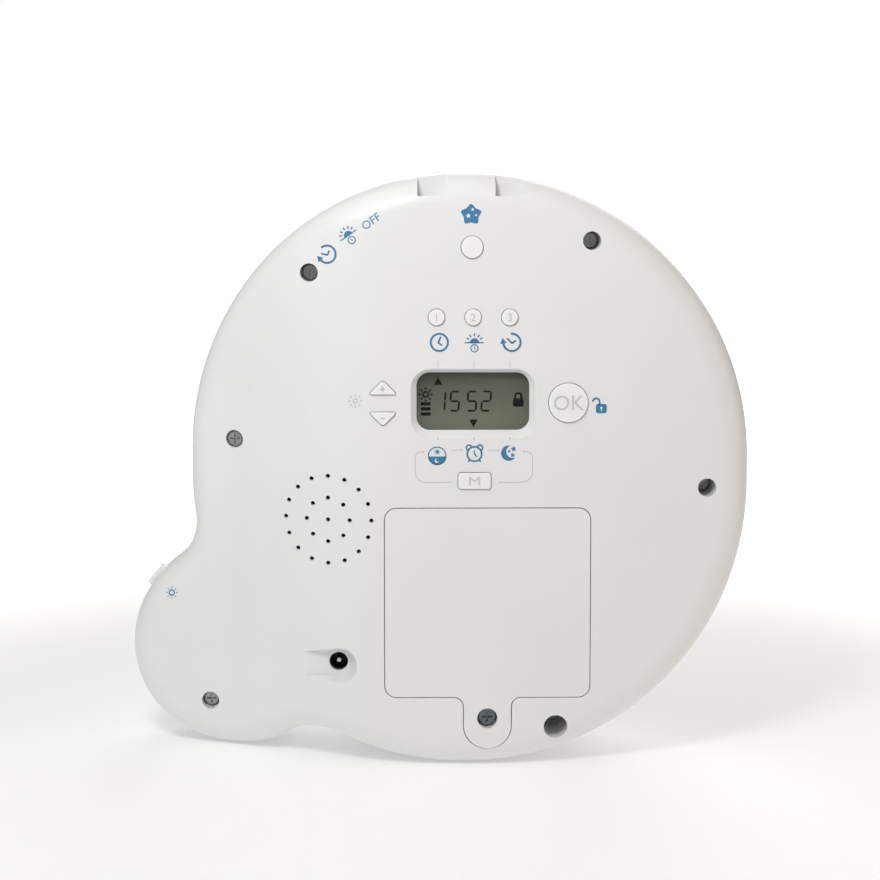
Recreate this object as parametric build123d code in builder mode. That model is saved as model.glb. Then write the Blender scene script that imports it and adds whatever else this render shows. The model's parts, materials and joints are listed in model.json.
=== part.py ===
from build123d import *
import os
from math import cos, radians, sin, sqrt

os.makedirs("parts", exist_ok=True)

# A child's alarm clock with a night light, standing on its rim.
# +Z is up, the child's side faces -Y and the settings side faces +Y.
# Origin: on the table, under the disc's axis, midway through the casing's foot.
# On the settings side, places are written as (u, z): u to the right as seen from
# behind (so u = -X), z up from the table. All sizes are in millimetres.

# ---------------------------------------------------------------- driving sizes
# Casing outline
disc_radius = 98.0
disc_stretch = 8.7
foot_flat = 0.4
lobe_radius = 36.5
lobe_u = -83.2
upper_blend = 18.0
lower_blend = 18.0

# Casing depth, front to back
case_depth = 60.0
back_lean = 3.0
back_shell_depth = 44.0
wall = 2.5
rim_radius = 10.0
front_rim_radius = 8.0
lip_height = 2.0
lip_thickness = 1.1
lip_gap = 0.15

# The back steps down from the disc to the lobe along an S-shaped slope
slope_u = -30.7
slope_radius = 52.0
slope_angle = 33.0
slope_foot_radius = 25.0
lobe_drop = 27.0

# Clearances
slip_gap = 0.3
seat_gap = 0.1
press_gap = 0.05
key_gap = 0.2

# Self-tapping screws
screw_shank = 2.9
screw_hole = 3.3
screw_head = 5.6
screw_head_height = 2.0
screw_length = 14.0
screw_cross = 3.4
screw_cross_width = 0.7
screw_cross_depth = 1.0
screw_hole_spare = 1.0
screw_seat_floor = 2.5
well_wall = 1.6
pillar_radius = 3.75
well_bore = 6.3
wide_well_bore = 8.3
# Each: the round it sits in, angle in degrees, distance in from the rim,
# depth of the head's seat under the back's foot line, bore of the well
casing_screw_list = [
    ("disc top", 130.0, 14.45, 25.0, well_bore),
    ("disc top", 60.25, 11.75, 21.0, well_bore),
    ("disc top", 176.5, 16.45, 33.0, well_bore),
    ("disc top", -6.35, 14.8, 18.6, well_bore),
    ("lobe", 247.6, 15.5, 33.0, well_bore),
    ("disc foot", -69.6, 9.0, 20.7, wide_well_bore),
]

# Keys on the back
panel_u = 2.4
key_proud = 1.0
key_edge = 0.5
key_travel = 0.6
key_flange = 1.4
key_flange_height = 1.0
key_stem_radius = 1.5
set_key_radius = 2.8
set_key_pitch = 12.45
star_key_radius = 3.75
star_key_shift = -0.35
star_key_drop = 25.1
ok_key_radius = 6.7
ok_key_u = 34.9
ok_key_drop = 0.5
mode_key_width = 11.2
mode_key_height = 5.6
mode_key_corner = 0.95
mode_key_shift = 0.5
mode_key_above_door = 9.5
arrow_key_width = 9.9
arrow_key_height = 4.9
arrow_key_corner = 0.45
arrow_key_crown = 1.3
arrow_key_u = -28.4
up_key_rise = 4.8
down_key_drop = 6.1
# Where the display and the settings keys sit, from the mode key (0) to the star key (1)
lcd_level = 0.3421
set_key_level = 0.7019

# Display
lcd_view_width = 38.6
lcd_view_height = 19.7
lcd_view_corner = 4.5
bezel_width = 42.6
bezel_height = 23.9
bezel_corner = 6.8
bezel_drop = 0.9
lcd_window_lap = 2.5
lcd_window_thickness = 1.5
lcd_glass_width = 42.0
lcd_glass_height = 23.0
lcd_glass_thickness = 2.8
lcd_glass_depth = 4.6
lcd_frame_wall = 2.0
zebra_width = 2.0
zebra_margin = 1.0

# Main board
board_depth = 11.0
board_thickness = 1.6
board_left_margin = 7.6
board_right_margin = 11.1
board_foot_margin = 3.7
board_shoulder_margin = 10.8
board_top_margin = 7.5
board_foot_half = 24.4
board_neck_half = 13.0
board_neck_margin = 7.8
board_screw_margin = 4.0
board_post_radius = 2.8
small_board_margin = 1.0
board_screw_shank = 2.0
board_screw_head = 4.0
board_screw_head_height = 1.4
board_screw_length = 6.0
tact_body = 6.0
tact_body_height = 3.4
tact_corner = 0.6
tact_plunger_radius = 1.7
chip_size = 12.0
chip_height = 1.6
chip_corner = 1.2
chip_drop = 12.5

# Battery bay
door_width = 70.5
door_height = 65.4
door_u = 7.4
door_z = 57.5
door_thickness = 2.2
door_corner = 4.0
door_gap = 0.3
tab_width = 16.3
tab_end_z = 6.8
tab_root_radius = 3.4
door_screw_z = 17.3
door_screw_head = 6.6
door_screw_shank = 2.9
door_screw_well = 7.0
door_screw_depth = 5.0
door_screw_length = 9.0
door_boss_wall = 1.6
door_boss_floor = 1.6
cell_radius = 7.1
cell_length = 50.2
cell_nub_radius = 2.7
cell_nub_length = 1.2
cell_pitch = 15.0
cell_count = 4
bay_wall = 1.6
bay_play = 0.5
bay_spring_room = 5.0
contact_size = 9.0
contact_thickness = 0.5

# Power inlet
jack_u = -44.1
jack_z = 36.2
jack_bore = 6.5
jack_recess_depth = 6.4
jack_recess_height = 8.4
jack_recess_drop = 0.7
jack_recess_length = 40.0
jack_recess_draft = 22.0
jack_floor = 2.0
jack_body_width = 9.0
jack_body_height = 11.0
jack_body_length = 14.0
jack_body_bore = 6.0
jack_bore_depth = 10.0
jack_pin_radius = 1.0
jack_pin_length = 9.5

# Speaker
speaker_u = -47.4
speaker_z = 85.9
speaker_radius = 18.0
speaker_seat_depth = 21.0
speaker_rim_height = 1.2
speaker_basket_height = 5.0
speaker_basket_radius = 10.0
speaker_magnet_radius = 9.0
speaker_magnet_height = 4.0
speaker_wall = 0.8
speaker_cap_radius = 5.0
speaker_ring_wall = 2.0
speaker_clamp_height = 1.4
sound_hole_radius = 0.75
sound_ring_pitch = 7.5
sound_ring_holes = 8

# Selector on the upper rim
selector_angle = 118.0
selector_from_split = 11.0
selector_travel = 4.0
selector_finger_length = 6.0
selector_finger_width = 4.0
selector_base_margin = 2.5
selector_base_height = 1.2
selector_dish_depth = 1.0
selector_dish_margin = 3.0
selector_post_height = 7.0
selector_post_width = 3.0
selector_switch_width = 6.0
selector_lever = 2.0
selector_lever_length = 3.4

# Light key on the lobe's rim
light_key_angle = 139.5
light_key_length = 8.4
light_key_width = 6.0
light_key_from_split = 1.5
light_key_proud = 1.6
light_key_flange_height = 1.2
light_key_corner = 1.2

# Two notches in the top of the rim
notch_places = [-11.5, 15.0]
notch_width = 10.1
notch_drop = 7.8
notch_depth = 6.5
notch_wall = 2.0

# Front: a coloured plate with light-up windows
plate_margin = 18.0
plate_thickness = 2.0
plate_proud = 0.6
plate_edge = 0.5
# Places on the plate are measured from its middle
sun_place = (-31.0, 25.0)
sun_radius = 25.0
moon_place = (33.0, -20.0)
moon_radius = 25.0
moon_bite_radius = 21.0
moon_bite = (12.0, 9.0)
moon_tip_radius = 1.0
lens_rise = 3.0
lens_thickness = 2.0
lens_flange = 2.0
lens_flange_height = 1.2
star_radius = 7.0
star_waist = 0.5
star_corner = 0.5
star_list = [(30.0, 32.0), (55.0, 11.0), (4.0, 56.0)]
reflector_wall = 1.4
reflector_margin = 1.0
reflector_neck_radius = 12.0
reflector_depth = 18.5
led_board_margin = 3.0
led_size = 5.0
led_height = 1.6
led_circle = 6.5
led_count = 3

# Night light in the lobe
dome_above_middle = 2.9
dome_radius = 16.5
dome_rise = 5.0
dome_neck_radius = 8.0

# ------------------------------------------------------------- worked-out values
back_y = case_depth / 2
front_y = -case_depth / 2
split_y = back_y - back_shell_depth
disc_low_z = disc_radius - foot_flat
disc_high_z = disc_low_z + disc_stretch
disc_mid_z = (disc_low_z + disc_high_z) / 2
disc_top_z = disc_high_z + disc_radius
lobe_z = lobe_radius - foot_flat
reach = 3 * disc_radius
tiny = 0.01
lean = radians(back_lean)
back_normal = Vector(0, cos(lean), sin(lean))
back_up = Vector(0, -sin(lean), cos(lean))
tact_height = tact_body_height + key_travel + seat_gap
key_stem_depth = board_depth - tact_height - key_travel
bay_width = cell_count * cell_pitch + 2 * bay_play
bay_height = cell_length + cell_nub_length + bay_spring_room
bay_depth = door_thickness + 2 * cell_radius + 2 * bay_play
spring_bow = bay_spring_room - contact_thickness - seat_gap
door_top = door_z + door_height / 2
door_bottom = door_z - door_height / 2
front_inner_y = front_y + wall
seat_y = front_y + plate_thickness - plate_proud

# Casing screws: u, z, height of the head's seat (Y), bore of the well
rounds = {
    "disc top": (0, disc_high_z, disc_radius),
    "disc foot": (0, disc_low_z, disc_radius),
    "lobe": (lobe_u, lobe_z, lobe_radius),
}
casing_screw_places = []
for round_name, screw_angle, inset, seat_depth, bore in casing_screw_list:
    round_u, round_z, round_radius = rounds[round_name]
    screw_u = round_u + (round_radius - inset) * cos(radians(screw_angle))
    screw_z = round_z + (round_radius - inset) * sin(radians(screw_angle))
    casing_screw_places.append((screw_u, screw_z, back_y - seat_depth, bore))

# The keys and the display share the height between the battery door and the rim
mode_key_z = door_top + mode_key_above_door
star_key_z = disc_top_z - star_key_drop
lcd_z = mode_key_z + lcd_level * (star_key_z - mode_key_z)
set_key_z = mode_key_z + set_key_level * (star_key_z - mode_key_z)
ok_key_z = lcd_z - ok_key_drop
up_key_z = lcd_z + up_key_rise
down_key_z = lcd_z - down_key_drop

# Main board, under the keys
board_left = arrow_key_u - board_left_margin
board_right = ok_key_u + board_right_margin
board_bottom = mode_key_z - board_foot_margin
board_shoulder = down_key_z - board_shoulder_margin
board_top = set_key_z + board_top_margin
board_foot_left = panel_u - board_foot_half
board_neck_top = star_key_z + board_neck_margin
chip_z = set_key_z - chip_drop
board_screw_places = [
    (board_left + board_screw_margin, board_top - board_screw_margin),
    (board_right - board_screw_margin, board_top - board_screw_margin),
    (board_right - board_screw_margin, board_bottom + board_screw_margin),
    (board_foot_left + board_screw_margin, board_bottom + board_screw_margin),
]

speaker_seat_y = back_y - speaker_seat_depth
selector_y = split_y + selector_from_split
selector_slot = selector_finger_length + 2 * selector_travel + 2 * slip_gap
selector_reach = selector_finger_length / 2 + selector_base_margin + selector_travel + slip_gap
light_key_y = split_y + light_key_from_split
# How far the round rim drops over half of a flat base that lies under it
selector_sag = selector_reach**2 / (2 * (disc_radius - wall))
light_key_sag = (light_key_length / 2 + key_flange) ** 2 / (2 * (lobe_radius - wall))
arrow_past_crest = max(0, slope_u - arrow_key_u + arrow_key_width / 2 + key_flange)
arrow_key_sag = arrow_past_crest**2 / (2 * (slope_radius - wall))
notch_z = disc_top_z - notch_drop
plate_radius = disc_radius - plate_margin
sun_x, sun_z = sun_place[0], disc_mid_z + sun_place[1]
moon_x, moon_z = moon_place[0], disc_mid_z + moon_place[1]
star_places = [(x, disc_mid_z + z) for x, z in star_list]
reflector_back_y = front_inner_y + reflector_depth
dome_x = -lobe_u
dome_z = lobe_z + dome_above_middle


# ---------------------------------------------------------------------- helpers
def back_plane(depth=0.0):
    """A plane parallel to the leaning back, at a depth under it, seen from behind."""
    start = Vector(0, back_y, 0) - back_normal * depth
    return Plane(origin=start, x_dir=(-1, 0, 0), z_dir=back_normal)


def upright_plane(y):
    """An upright plane across the casing, seen from behind."""
    return Plane(origin=(0, y, 0), x_dir=(-1, 0, 0), z_dir=(0, 1, 0))


def front_plane(y):
    """An upright plane across the casing, seen from the front."""
    return Plane(origin=(0, y, 0), x_dir=(1, 0, 0), z_dir=(0, -1, 0))


def rim_plane(centre_u, centre_z, radius, angle, y):
    """A plane that touches a round rim at an angle, its normal pointing outwards."""
    a = radians(angle)
    outward = Vector(-cos(a), 0, sin(a))
    along = Vector(sin(a), 0, cos(a))
    start = Vector(-centre_u, y, centre_z) + outward * radius
    return Plane(origin=start, x_dir=along, z_dir=outward)


def casing_outline(plane, inset=0.0):
    """The disc and its lobe, joined by two hollow blends, drawn in by inset."""
    with BuildSketch(plane) as outline:
        with Locations((0, disc_mid_z)):
            SlotCenterToCenter(disc_stretch, 2 * (disc_radius - inset), rotation=90)
        with Locations((lobe_u, lobe_z)):
            Circle(lobe_radius - inset)
        for pick, blend in ((-1, upper_blend), (0, lower_blend)):
            on_lobe = outline.vertices().filter_by(
                lambda v: abs((Vector(v) - Vector(lobe_u, lobe_z)).length - lobe_radius + inset) < tiny
            )
            fillet(on_lobe.sort_by(Axis.Y)[pick], blend + inset)
    return outline.sketch


def back_profile(inset=0.0):
    """Cross-section of the back: flat, an S-shaped slope down to the lobe, and flat again."""
    angle = radians(slope_angle)
    bend = slope_radius - inset
    hollow = slope_foot_radius + inset
    run = (lobe_drop - (slope_radius + slope_foot_radius) * (1 - cos(angle))) / sin(angle)
    start = Vector(0, back_y, 0) - back_up * reach / 2
    with BuildSketch(Plane(origin=start, x_dir=(-1, 0, 0), z_dir=back_up)) as profile:
        with BuildLine():
            crest = CenterArc((slope_u, slope_radius), bend, -90, -slope_angle)
            slope = Line(crest @ 1, crest @ 1 + Vector(-cos(angle), sin(angle)) * run)
            hollow_centre = slope @ 1 - Vector(sin(angle), cos(angle)) * hollow
            foot = CenterArc(hollow_centre, hollow, 90 - slope_angle, slope_angle)
            foot_y = (foot @ 1).Y
            Polyline(foot @ 1, (-reach, foot_y), (-reach, reach), (reach, reach), (reach, inset), crest @ 0)
        make_face()
    return profile.sketch


def rear_lump(inset=0.0):
    """The rear half of the casing as a solid, drawn in by inset on all sides but its mouth."""
    with BuildPart() as lump:
        extrude(casing_outline(upright_plane(split_y), inset), amount=reach)
        extrude(back_profile(inset), amount=2 * reach, mode=Mode.INTERSECT)
        side_walls = lump.faces().filter_by(lambda f: abs(f.normal_at().Y) < tiny)
        rim = side_walls.edges().filter_by(Axis.Y, reverse=True)
        fillet(rim.filter_by(lambda e: e.center().Y > split_y + wall), rim_radius - inset)
    return lump.part


def front_lump(inset=0.0):
    """The front half of the casing as a solid, drawn in by inset on all sides but its mouth."""
    with BuildPart() as lump:
        extrude(casing_outline(upright_plane(front_y + inset), inset), amount=split_y - front_y - inset)
        fillet(lump.faces().sort_by(Axis.Y)[0].edges(), front_rim_radius - inset)
    return lump.part


def rounded_box(plane, width, height, corner, amount, centre=(0, 0)):
    """A plate with rounded corners, standing on a plane."""
    with BuildPart() as plate:
        with BuildSketch(plane):
            with Locations(centre):
                RectangleRounded(width, height, corner)
        extrude(amount=amount)
    return plate.part


def finish(piece, name):
    """Label a finished piece and write it to its own file."""
    piece.label = name
    export_step(piece, f"parts/{name}.step")


def cross_recess(plane, places):
    """Cut a cross-head recess into the screw heads that lie on a plane."""
    with BuildSketch(plane) as crosses:
        with Locations(*places):
            Rectangle(screw_cross, screw_cross_width)
            Rectangle(screw_cross_width, screw_cross)
    extrude(crosses.sketch, amount=-screw_cross_depth, mode=Mode.SUBTRACT)


outer_rear = rear_lump()
cavity_rear = rear_lump(wall)

# -------------------------------------------------------------------- back shell
key_shapes = {
    "set_key_1": ("round", panel_u - set_key_pitch, set_key_z, set_key_radius),
    "set_key_2": ("round", panel_u, set_key_z, set_key_radius),
    "set_key_3": ("round", panel_u + set_key_pitch, set_key_z, set_key_radius),
    "star_key": ("round", panel_u + star_key_shift, star_key_z, star_key_radius),
    "ok_key": ("round", ok_key_u, ok_key_z, ok_key_radius),
    "mode_key": ("bar", panel_u + mode_key_shift, mode_key_z, 0),
    "up_key": ("arrow", arrow_key_u, up_key_z, 1),
    "down_key": ("arrow", arrow_key_u, down_key_z, -1),
}


def key_outline(shape, u, z, size, grow=0.0):
    """Draw one key's outline in the open sketch, grown by an allowance."""
    with Locations((u, z)):
        if shape == "round":
            Circle(size + grow)
        elif shape == "bar":
            RectangleRounded(mode_key_width + 2 * grow, mode_key_height + 2 * grow, mode_key_corner + grow)
        else:
            add(arrow_outline(size, grow))


def arrow_outline(way, grow):
    """A low triangle with blunt, rounded tips, pointing up or down."""
    half_width = arrow_key_width / 2
    half_height = way * arrow_key_height / 2
    with BuildSketch(mode=Mode.PRIVATE) as arrow:
        with BuildLine():
            Polyline((-half_width, -half_height), (half_width, -half_height), (0, half_height), close=True)
        make_face()
        crown = arrow.vertices().sort_by(lambda v: way * v.Y)[-1]
        fillet(crown, arrow_key_crown)
        tips = arrow.vertices().filter_by(lambda v: abs(v.X) > half_width - tiny)
        fillet(tips, arrow_key_corner)
        if grow:
            offset(amount=grow, kind=Kind.ARC)
    return arrow.sketch


def door_outline(plane, grow=0.0):
    """The battery door seen from behind: a rounded plate with a screw tab at its foot."""
    tab_radius = tab_width / 2 + grow
    tab_centre_z = tab_end_z + tab_width / 2
    with BuildSketch(plane) as outline:
        with Locations((door_u, door_z)):
            RectangleRounded(door_width + 2 * grow, door_height + 2 * grow, door_corner + grow)
        with Locations((door_u, tab_centre_z)):
            Circle(tab_radius)
        with Locations((door_u, (tab_centre_z + door_z) / 2)):
            Rectangle(2 * tab_radius, door_z - tab_centre_z)
        roots = outline.vertices().filter_by_position(
            Axis.Y, door_bottom - grow - tiny, door_bottom - grow + tiny
        )
        inner = roots.sort_by(lambda v: abs(v.X - door_u))[0:2]
        fillet(inner, tab_root_radius - grow)
    return outline.sketch


# Solid stiffening inside the cavity: screw wells, battery bay, inlet, speaker seat, posts
with BuildPart() as inner_works:
    for u, z, seat, bore in casing_screw_places:
        with BuildSketch(upright_plane(seat - screw_seat_floor)):
            with Locations((u, z)):
                Circle(bore / 2 + well_wall)
        extrude(amount=case_depth)
    with BuildSketch(back_plane(bay_depth + bay_wall)):
        with Locations((door_u, door_z)):
            Rectangle(bay_width + 2 * bay_wall, bay_height + 2 * bay_wall)
    extrude(amount=case_depth)
    door_seat = door_outline(back_plane(door_thickness + bay_wall), grow=bay_wall)
    extrude(door_seat, amount=case_depth)
    with BuildSketch(back_plane(door_screw_depth + door_boss_floor + door_screw_length)):
        with Locations((door_u, door_screw_z)):
            Circle(door_screw_well / 2 + door_boss_wall + door_gap + bay_wall)
    extrude(amount=case_depth)
    with BuildSketch(back_plane(jack_recess_depth + jack_floor)):
        with Locations((jack_u - jack_recess_length / 2, jack_z - jack_recess_drop)):
            SlotCenterToCenter(jack_recess_length, jack_recess_height + 4 * wall)
    extrude(amount=case_depth)
    with BuildSketch(upright_plane(speaker_seat_y - speaker_rim_height)):
        with Locations((speaker_u, speaker_z)):
            Circle(speaker_radius + seat_gap + speaker_ring_wall)
            Circle(speaker_radius + seat_gap - speaker_ring_wall, mode=Mode.SUBTRACT)
    extrude(amount=case_depth)
    with BuildSketch(back_plane(board_depth)):
        with Locations(*board_screw_places):
            Circle(board_post_radius)
    extrude(amount=case_depth)
    with BuildSketch(back_plane(notch_depth + notch_wall)):
        for u in notch_places:
            with Locations((u, notch_z - notch_wall)):
                Rectangle(notch_width + 2 * notch_wall, reach, align=(Align.CENTER, Align.MIN))
    extrude(amount=case_depth)
    add(cavity_rear, mode=Mode.INTERSECT)

selector_rim = rim_plane(0, disc_high_z, disc_radius, selector_angle, selector_y)
light_rim = rim_plane(lobe_u, lobe_z, lobe_radius, light_key_angle, light_key_y)


def selector_offset(depth):
    """A plane parallel to the selector's, at a depth under the rim."""
    return selector_rim.offset(-depth)


def light_key_hole():
    """Cut the light key's hole, half of which lies in each shell."""
    with BuildSketch(light_rim.offset(light_key_proud + wall)) as hole:
        RectangleRounded(
            light_key_length + 2 * slip_gap, light_key_width + 2 * slip_gap, light_key_corner + slip_gap
        )
    extrude(hole.sketch, amount=-light_key_proud - 4 * wall, mode=Mode.SUBTRACT)


def foot_cut():
    """Flatten both rounds where they stand on the table."""
    with BuildSketch(Plane.XY) as ground:
        Rectangle(2 * reach, 2 * reach)
    extrude(ground.sketch, amount=-reach, mode=Mode.SUBTRACT)


with BuildPart() as back_shell:
    add(outer_rear)
    foot_cut()
    add(cavity_rear, mode=Mode.SUBTRACT)
    add(inner_works.part)
    # Lip that centres the front shell
    lip_outer = wall - lip_thickness
    extrude(casing_outline(upright_plane(split_y), lip_outer), amount=-lip_height)
    extrude(casing_outline(upright_plane(split_y), wall), amount=-lip_height, mode=Mode.SUBTRACT)
    # Screw wells and their clearance holes
    for u, z, seat, bore in casing_screw_places:
        with BuildSketch(upright_plane(seat)):
            with Locations((u, z)):
                Circle(bore / 2)
        extrude(amount=case_depth, mode=Mode.SUBTRACT)
        with BuildSketch(upright_plane(seat)):
            with Locations((u, z)):
                Circle(screw_hole / 2)
        extrude(amount=-2 * screw_seat_floor, mode=Mode.SUBTRACT)
    # Battery bay, and the recess that its door lies in
    extrude(door_outline(back_plane(door_thickness), door_gap), amount=case_depth, mode=Mode.SUBTRACT)
    with BuildSketch(back_plane(bay_depth)):
        with Locations((door_u, door_z)):
            Rectangle(bay_width, bay_height)
    extrude(amount=case_depth, mode=Mode.SUBTRACT)
    with BuildSketch(back_plane(door_screw_depth + door_boss_floor + seat_gap)):
        with Locations((door_u, door_screw_z)):
            Circle(door_screw_well / 2 + door_boss_wall + door_gap)
    extrude(amount=case_depth, mode=Mode.SUBTRACT)
    with BuildSketch(back_plane(door_screw_depth)):
        with Locations((door_u, door_screw_z)):
            Circle(screw_hole / 2)
    extrude(amount=-door_screw_length - seat_gap, mode=Mode.SUBTRACT)
    # Power inlet
    with BuildSketch(back_plane(jack_recess_depth)):
        with Locations((jack_u - jack_recess_length / 2, jack_z - jack_recess_drop)):
            SlotCenterToCenter(jack_recess_length, jack_recess_height)
    extrude(amount=2 * jack_recess_depth, taper=-jack_recess_draft, mode=Mode.SUBTRACT)
    with BuildSketch(back_plane(jack_recess_depth)):
        with Locations((jack_u, jack_z)):
            Circle(jack_bore / 2)
    extrude(amount=-jack_floor, mode=Mode.SUBTRACT)
    # Sound holes: one in the middle and two rings
    with BuildSketch(upright_plane(speaker_seat_y)):
        with Locations((speaker_u, speaker_z)):
            Circle(sound_hole_radius)
            with PolarLocations(sound_ring_pitch, sound_ring_holes, start_angle=90):
                Circle(sound_hole_radius)
            with PolarLocations(2 * sound_ring_pitch, 2 * sound_ring_holes, start_angle=90):
                Circle(sound_hole_radius)
    extrude(amount=case_depth, mode=Mode.SUBTRACT)
    # The speaker's seat: a step in the ring that holds it
    with BuildSketch(upright_plane(speaker_seat_y)):
        with Locations((speaker_u, speaker_z)):
            Circle(speaker_radius + seat_gap)
    extrude(amount=-case_depth / 2, mode=Mode.SUBTRACT)
    # Key holes
    with BuildSketch(back_plane(wall + seat_gap)):
        for shape in key_shapes.values():
            key_outline(*shape, grow=key_gap)
    extrude(amount=case_depth, mode=Mode.SUBTRACT)
    # Display opening with bevelled sides
    with BuildSketch(back_plane(wall)):
        with Locations((panel_u, lcd_z)):
            RectangleRounded(lcd_view_width, lcd_view_height, lcd_view_corner)
    with BuildSketch(back_plane()):
        with Locations((panel_u, lcd_z - bezel_drop)):
            RectangleRounded(bezel_width, bezel_height, bezel_corner)
    loft(mode=Mode.SUBTRACT)
    # Pilot holes in the board's posts
    with BuildSketch(back_plane(board_depth)):
        with Locations(*board_screw_places):
            Circle(board_screw_shank / 2 + press_gap)
    extrude(amount=board_screw_length - board_thickness, mode=Mode.SUBTRACT)
    # Notches in the top of the rim
    with BuildSketch(back_plane(notch_depth)):
        for u in notch_places:
            with Locations((u, notch_z)):
                Rectangle(notch_width, reach, align=(Align.CENTER, Align.MIN))
    extrude(amount=case_depth, mode=Mode.SUBTRACT)
    # Selector: two posts inside, a slot, and a shallow dish around it
    with BuildSketch(selector_offset(wall / 2)):
        post_place = selector_reach + selector_post_width / 2
        with Locations((-post_place, 0), (post_place, 0)):
            Rectangle(selector_post_width, selector_switch_width)
    extrude(amount=-selector_post_height - wall / 2)
    with BuildSketch(selector_offset(3 * wall)):
        RectangleRounded(selector_slot, selector_finger_width + 2 * slip_gap, slip_gap)
    extrude(amount=4 * wall, mode=Mode.SUBTRACT)
    with BuildSketch(selector_offset(selector_dish_depth)):
        RectangleRounded(
            selector_slot + 2 * selector_dish_margin,
            selector_finger_width + 2 * selector_dish_margin,
            selector_dish_margin,
        )
    extrude(amount=4 * wall, taper=-2 * selector_dish_margin, mode=Mode.SUBTRACT)
    light_key_hole()
finish(back_shell.part, "back_shell")

# ------------------------------------------------------------------- front shell
cavity_front = front_lump(wall)

with BuildPart() as pillars:
    for u, z, seat, bore in casing_screw_places:
        with BuildSketch(upright_plane(front_y + wall / 2)):
            with Locations((u, z)):
                Circle(pillar_radius)
        extrude(amount=seat - screw_seat_floor - front_y - wall / 2)
        with BuildSketch(upright_plane(seat - screw_seat_floor)):
            with Locations((u, z)):
                Circle(screw_shank / 2 + press_gap)
        extrude(amount=screw_seat_floor - screw_length - screw_hole_spare, mode=Mode.SUBTRACT)


def star_outline(size):
    """A five-pointed star with rounded points, in the open sketch."""
    with BuildSketch(mode=Mode.PRIVATE) as star:
        tips = [Vector(0, size).rotate(Axis.Z, 72 * i) for i in range(5)]
        waists = [Vector(0, size * star_waist).rotate(Axis.Z, 72 * i + 36) for i in range(5)]
        corners = [point for pair in zip(tips, waists) for point in pair]
        with BuildLine():
            Polyline(*corners, close=True)
        make_face()
        fillet(star.vertices(), star_corner)
    return star.sketch


def moon_outline(grow=0.0):
    """A crescent moon, drawn about its own centre."""
    with BuildSketch(mode=Mode.PRIVATE) as moon:
        Circle(moon_radius)
        with Locations(moon_bite):
            Circle(moon_bite_radius, mode=Mode.SUBTRACT)
        fillet(moon.vertices(), moon_tip_radius)
        if grow:
            offset(amount=grow, kind=Kind.ARC)
    return moon.sketch


def window_shapes(grow=0.0):
    """Draw the sun, moon and star windows in the open sketch, grown by an allowance."""
    with Locations((sun_x, sun_z)):
        Circle(sun_radius + grow)
    with Locations((moon_x, moon_z)):
        add(moon_outline(grow))
    with Locations(*star_places):
        add(star_outline(star_radius + grow))


with BuildPart() as front_shell:
    add(front_lump())
    add(cavity_front, mode=Mode.SUBTRACT)
    # Rebate for the back shell's lip
    rebate = casing_outline(upright_plane(split_y), lip_outer - lip_gap)
    extrude(rebate, amount=-lip_height - lip_gap, mode=Mode.SUBTRACT)
    add(pillars.part)
    # Recess for the coloured plate, and its light openings
    with BuildSketch(front_plane(seat_y)):
        with Locations((0, disc_mid_z)):
            Circle(plate_radius + slip_gap)
    extrude(amount=case_depth, mode=Mode.SUBTRACT)
    with BuildSketch(front_plane(front_inner_y + wall)):
        window_shapes(lens_flange + seat_gap)
        with Locations((dome_x, dome_z)):
            Circle(dome_radius + slip_gap)
    extrude(amount=case_depth, mode=Mode.SUBTRACT)
    light_key_hole()
    foot_cut()
finish(front_shell.part, "front_shell")

# ----------------------------------------------------------------- casing screws
with BuildPart() as casing_screws:
    for u, z, seat, bore in casing_screw_places:
        with BuildSketch(upright_plane(seat)):
            with Locations((u, z)):
                Circle(screw_head / 2)
        extrude(amount=screw_head_height)
        with BuildSketch(upright_plane(seat)):
            with Locations((u, z)):
                Circle(screw_shank / 2)
        extrude(amount=-screw_length)
        cross_recess(upright_plane(seat + screw_head_height), [(u, z)])
    crowns = casing_screws.edges().filter_by(GeomType.CIRCLE)
    crowns = crowns.filter_by(lambda e: abs(e.radius - screw_head / 2) < tiny)
    seats = [seat for u, z, seat, bore in casing_screw_places]
    crowns = crowns.filter_by(lambda e: min(abs(e.center().Y - seat) for seat in seats) > tiny)
    chamfer(crowns, screw_head_height / 4)
finish(casing_screws.part, "casing_screws")

# ------------------------------------------------------------------ battery door
with BuildPart() as battery_door:
    extrude(door_outline(back_plane(door_thickness)), amount=door_thickness)
    with BuildSketch(back_plane(door_screw_depth + door_boss_floor)):
        with Locations((door_u, door_screw_z)):
            Circle(door_screw_well / 2 + door_boss_wall)
    extrude(amount=door_screw_depth)
    with BuildSketch(back_plane(door_screw_depth)):
        with Locations((door_u, door_screw_z)):
            Circle(door_screw_well / 2)
    extrude(amount=case_depth, mode=Mode.SUBTRACT)
    with BuildSketch(back_plane(door_screw_depth)):
        with Locations((door_u, door_screw_z)):
            Circle(screw_hole / 2)
    extrude(amount=-2 * door_boss_floor, mode=Mode.SUBTRACT)
finish(battery_door.part, "battery_door")

with BuildPart() as door_screw:
    with BuildSketch(back_plane(door_screw_depth)):
        with Locations((door_u, door_screw_z)):
            Circle(door_screw_head / 2)
    extrude(amount=screw_head_height)
    crown = door_screw.faces().sort_by(Axis.Y)[-1].edges()
    chamfer(crown, screw_head_height / 4)
    with BuildSketch(back_plane(door_screw_depth)):
        with Locations((door_u, door_screw_z)):
            Circle(door_screw_shank / 2)
    extrude(amount=-door_screw_length)
    cross_recess(back_plane(door_screw_depth - screw_head_height), [(door_u, door_screw_z)])
finish(door_screw.part, "door_screw")

# --------------------------------------------------------- batteries and contacts
cell_depth = door_thickness + bay_play + cell_radius
bay_low_z = door_z - bay_height / 2
bay_high_z = door_z + bay_height / 2


def cell_plane(z):
    """A plane across the cells, at a height along the leaning back."""
    start = Vector(0, back_y, 0) - back_normal * cell_depth + back_up * z
    return Plane(origin=start, x_dir=(-1, 0, 0), z_dir=back_up)


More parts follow.
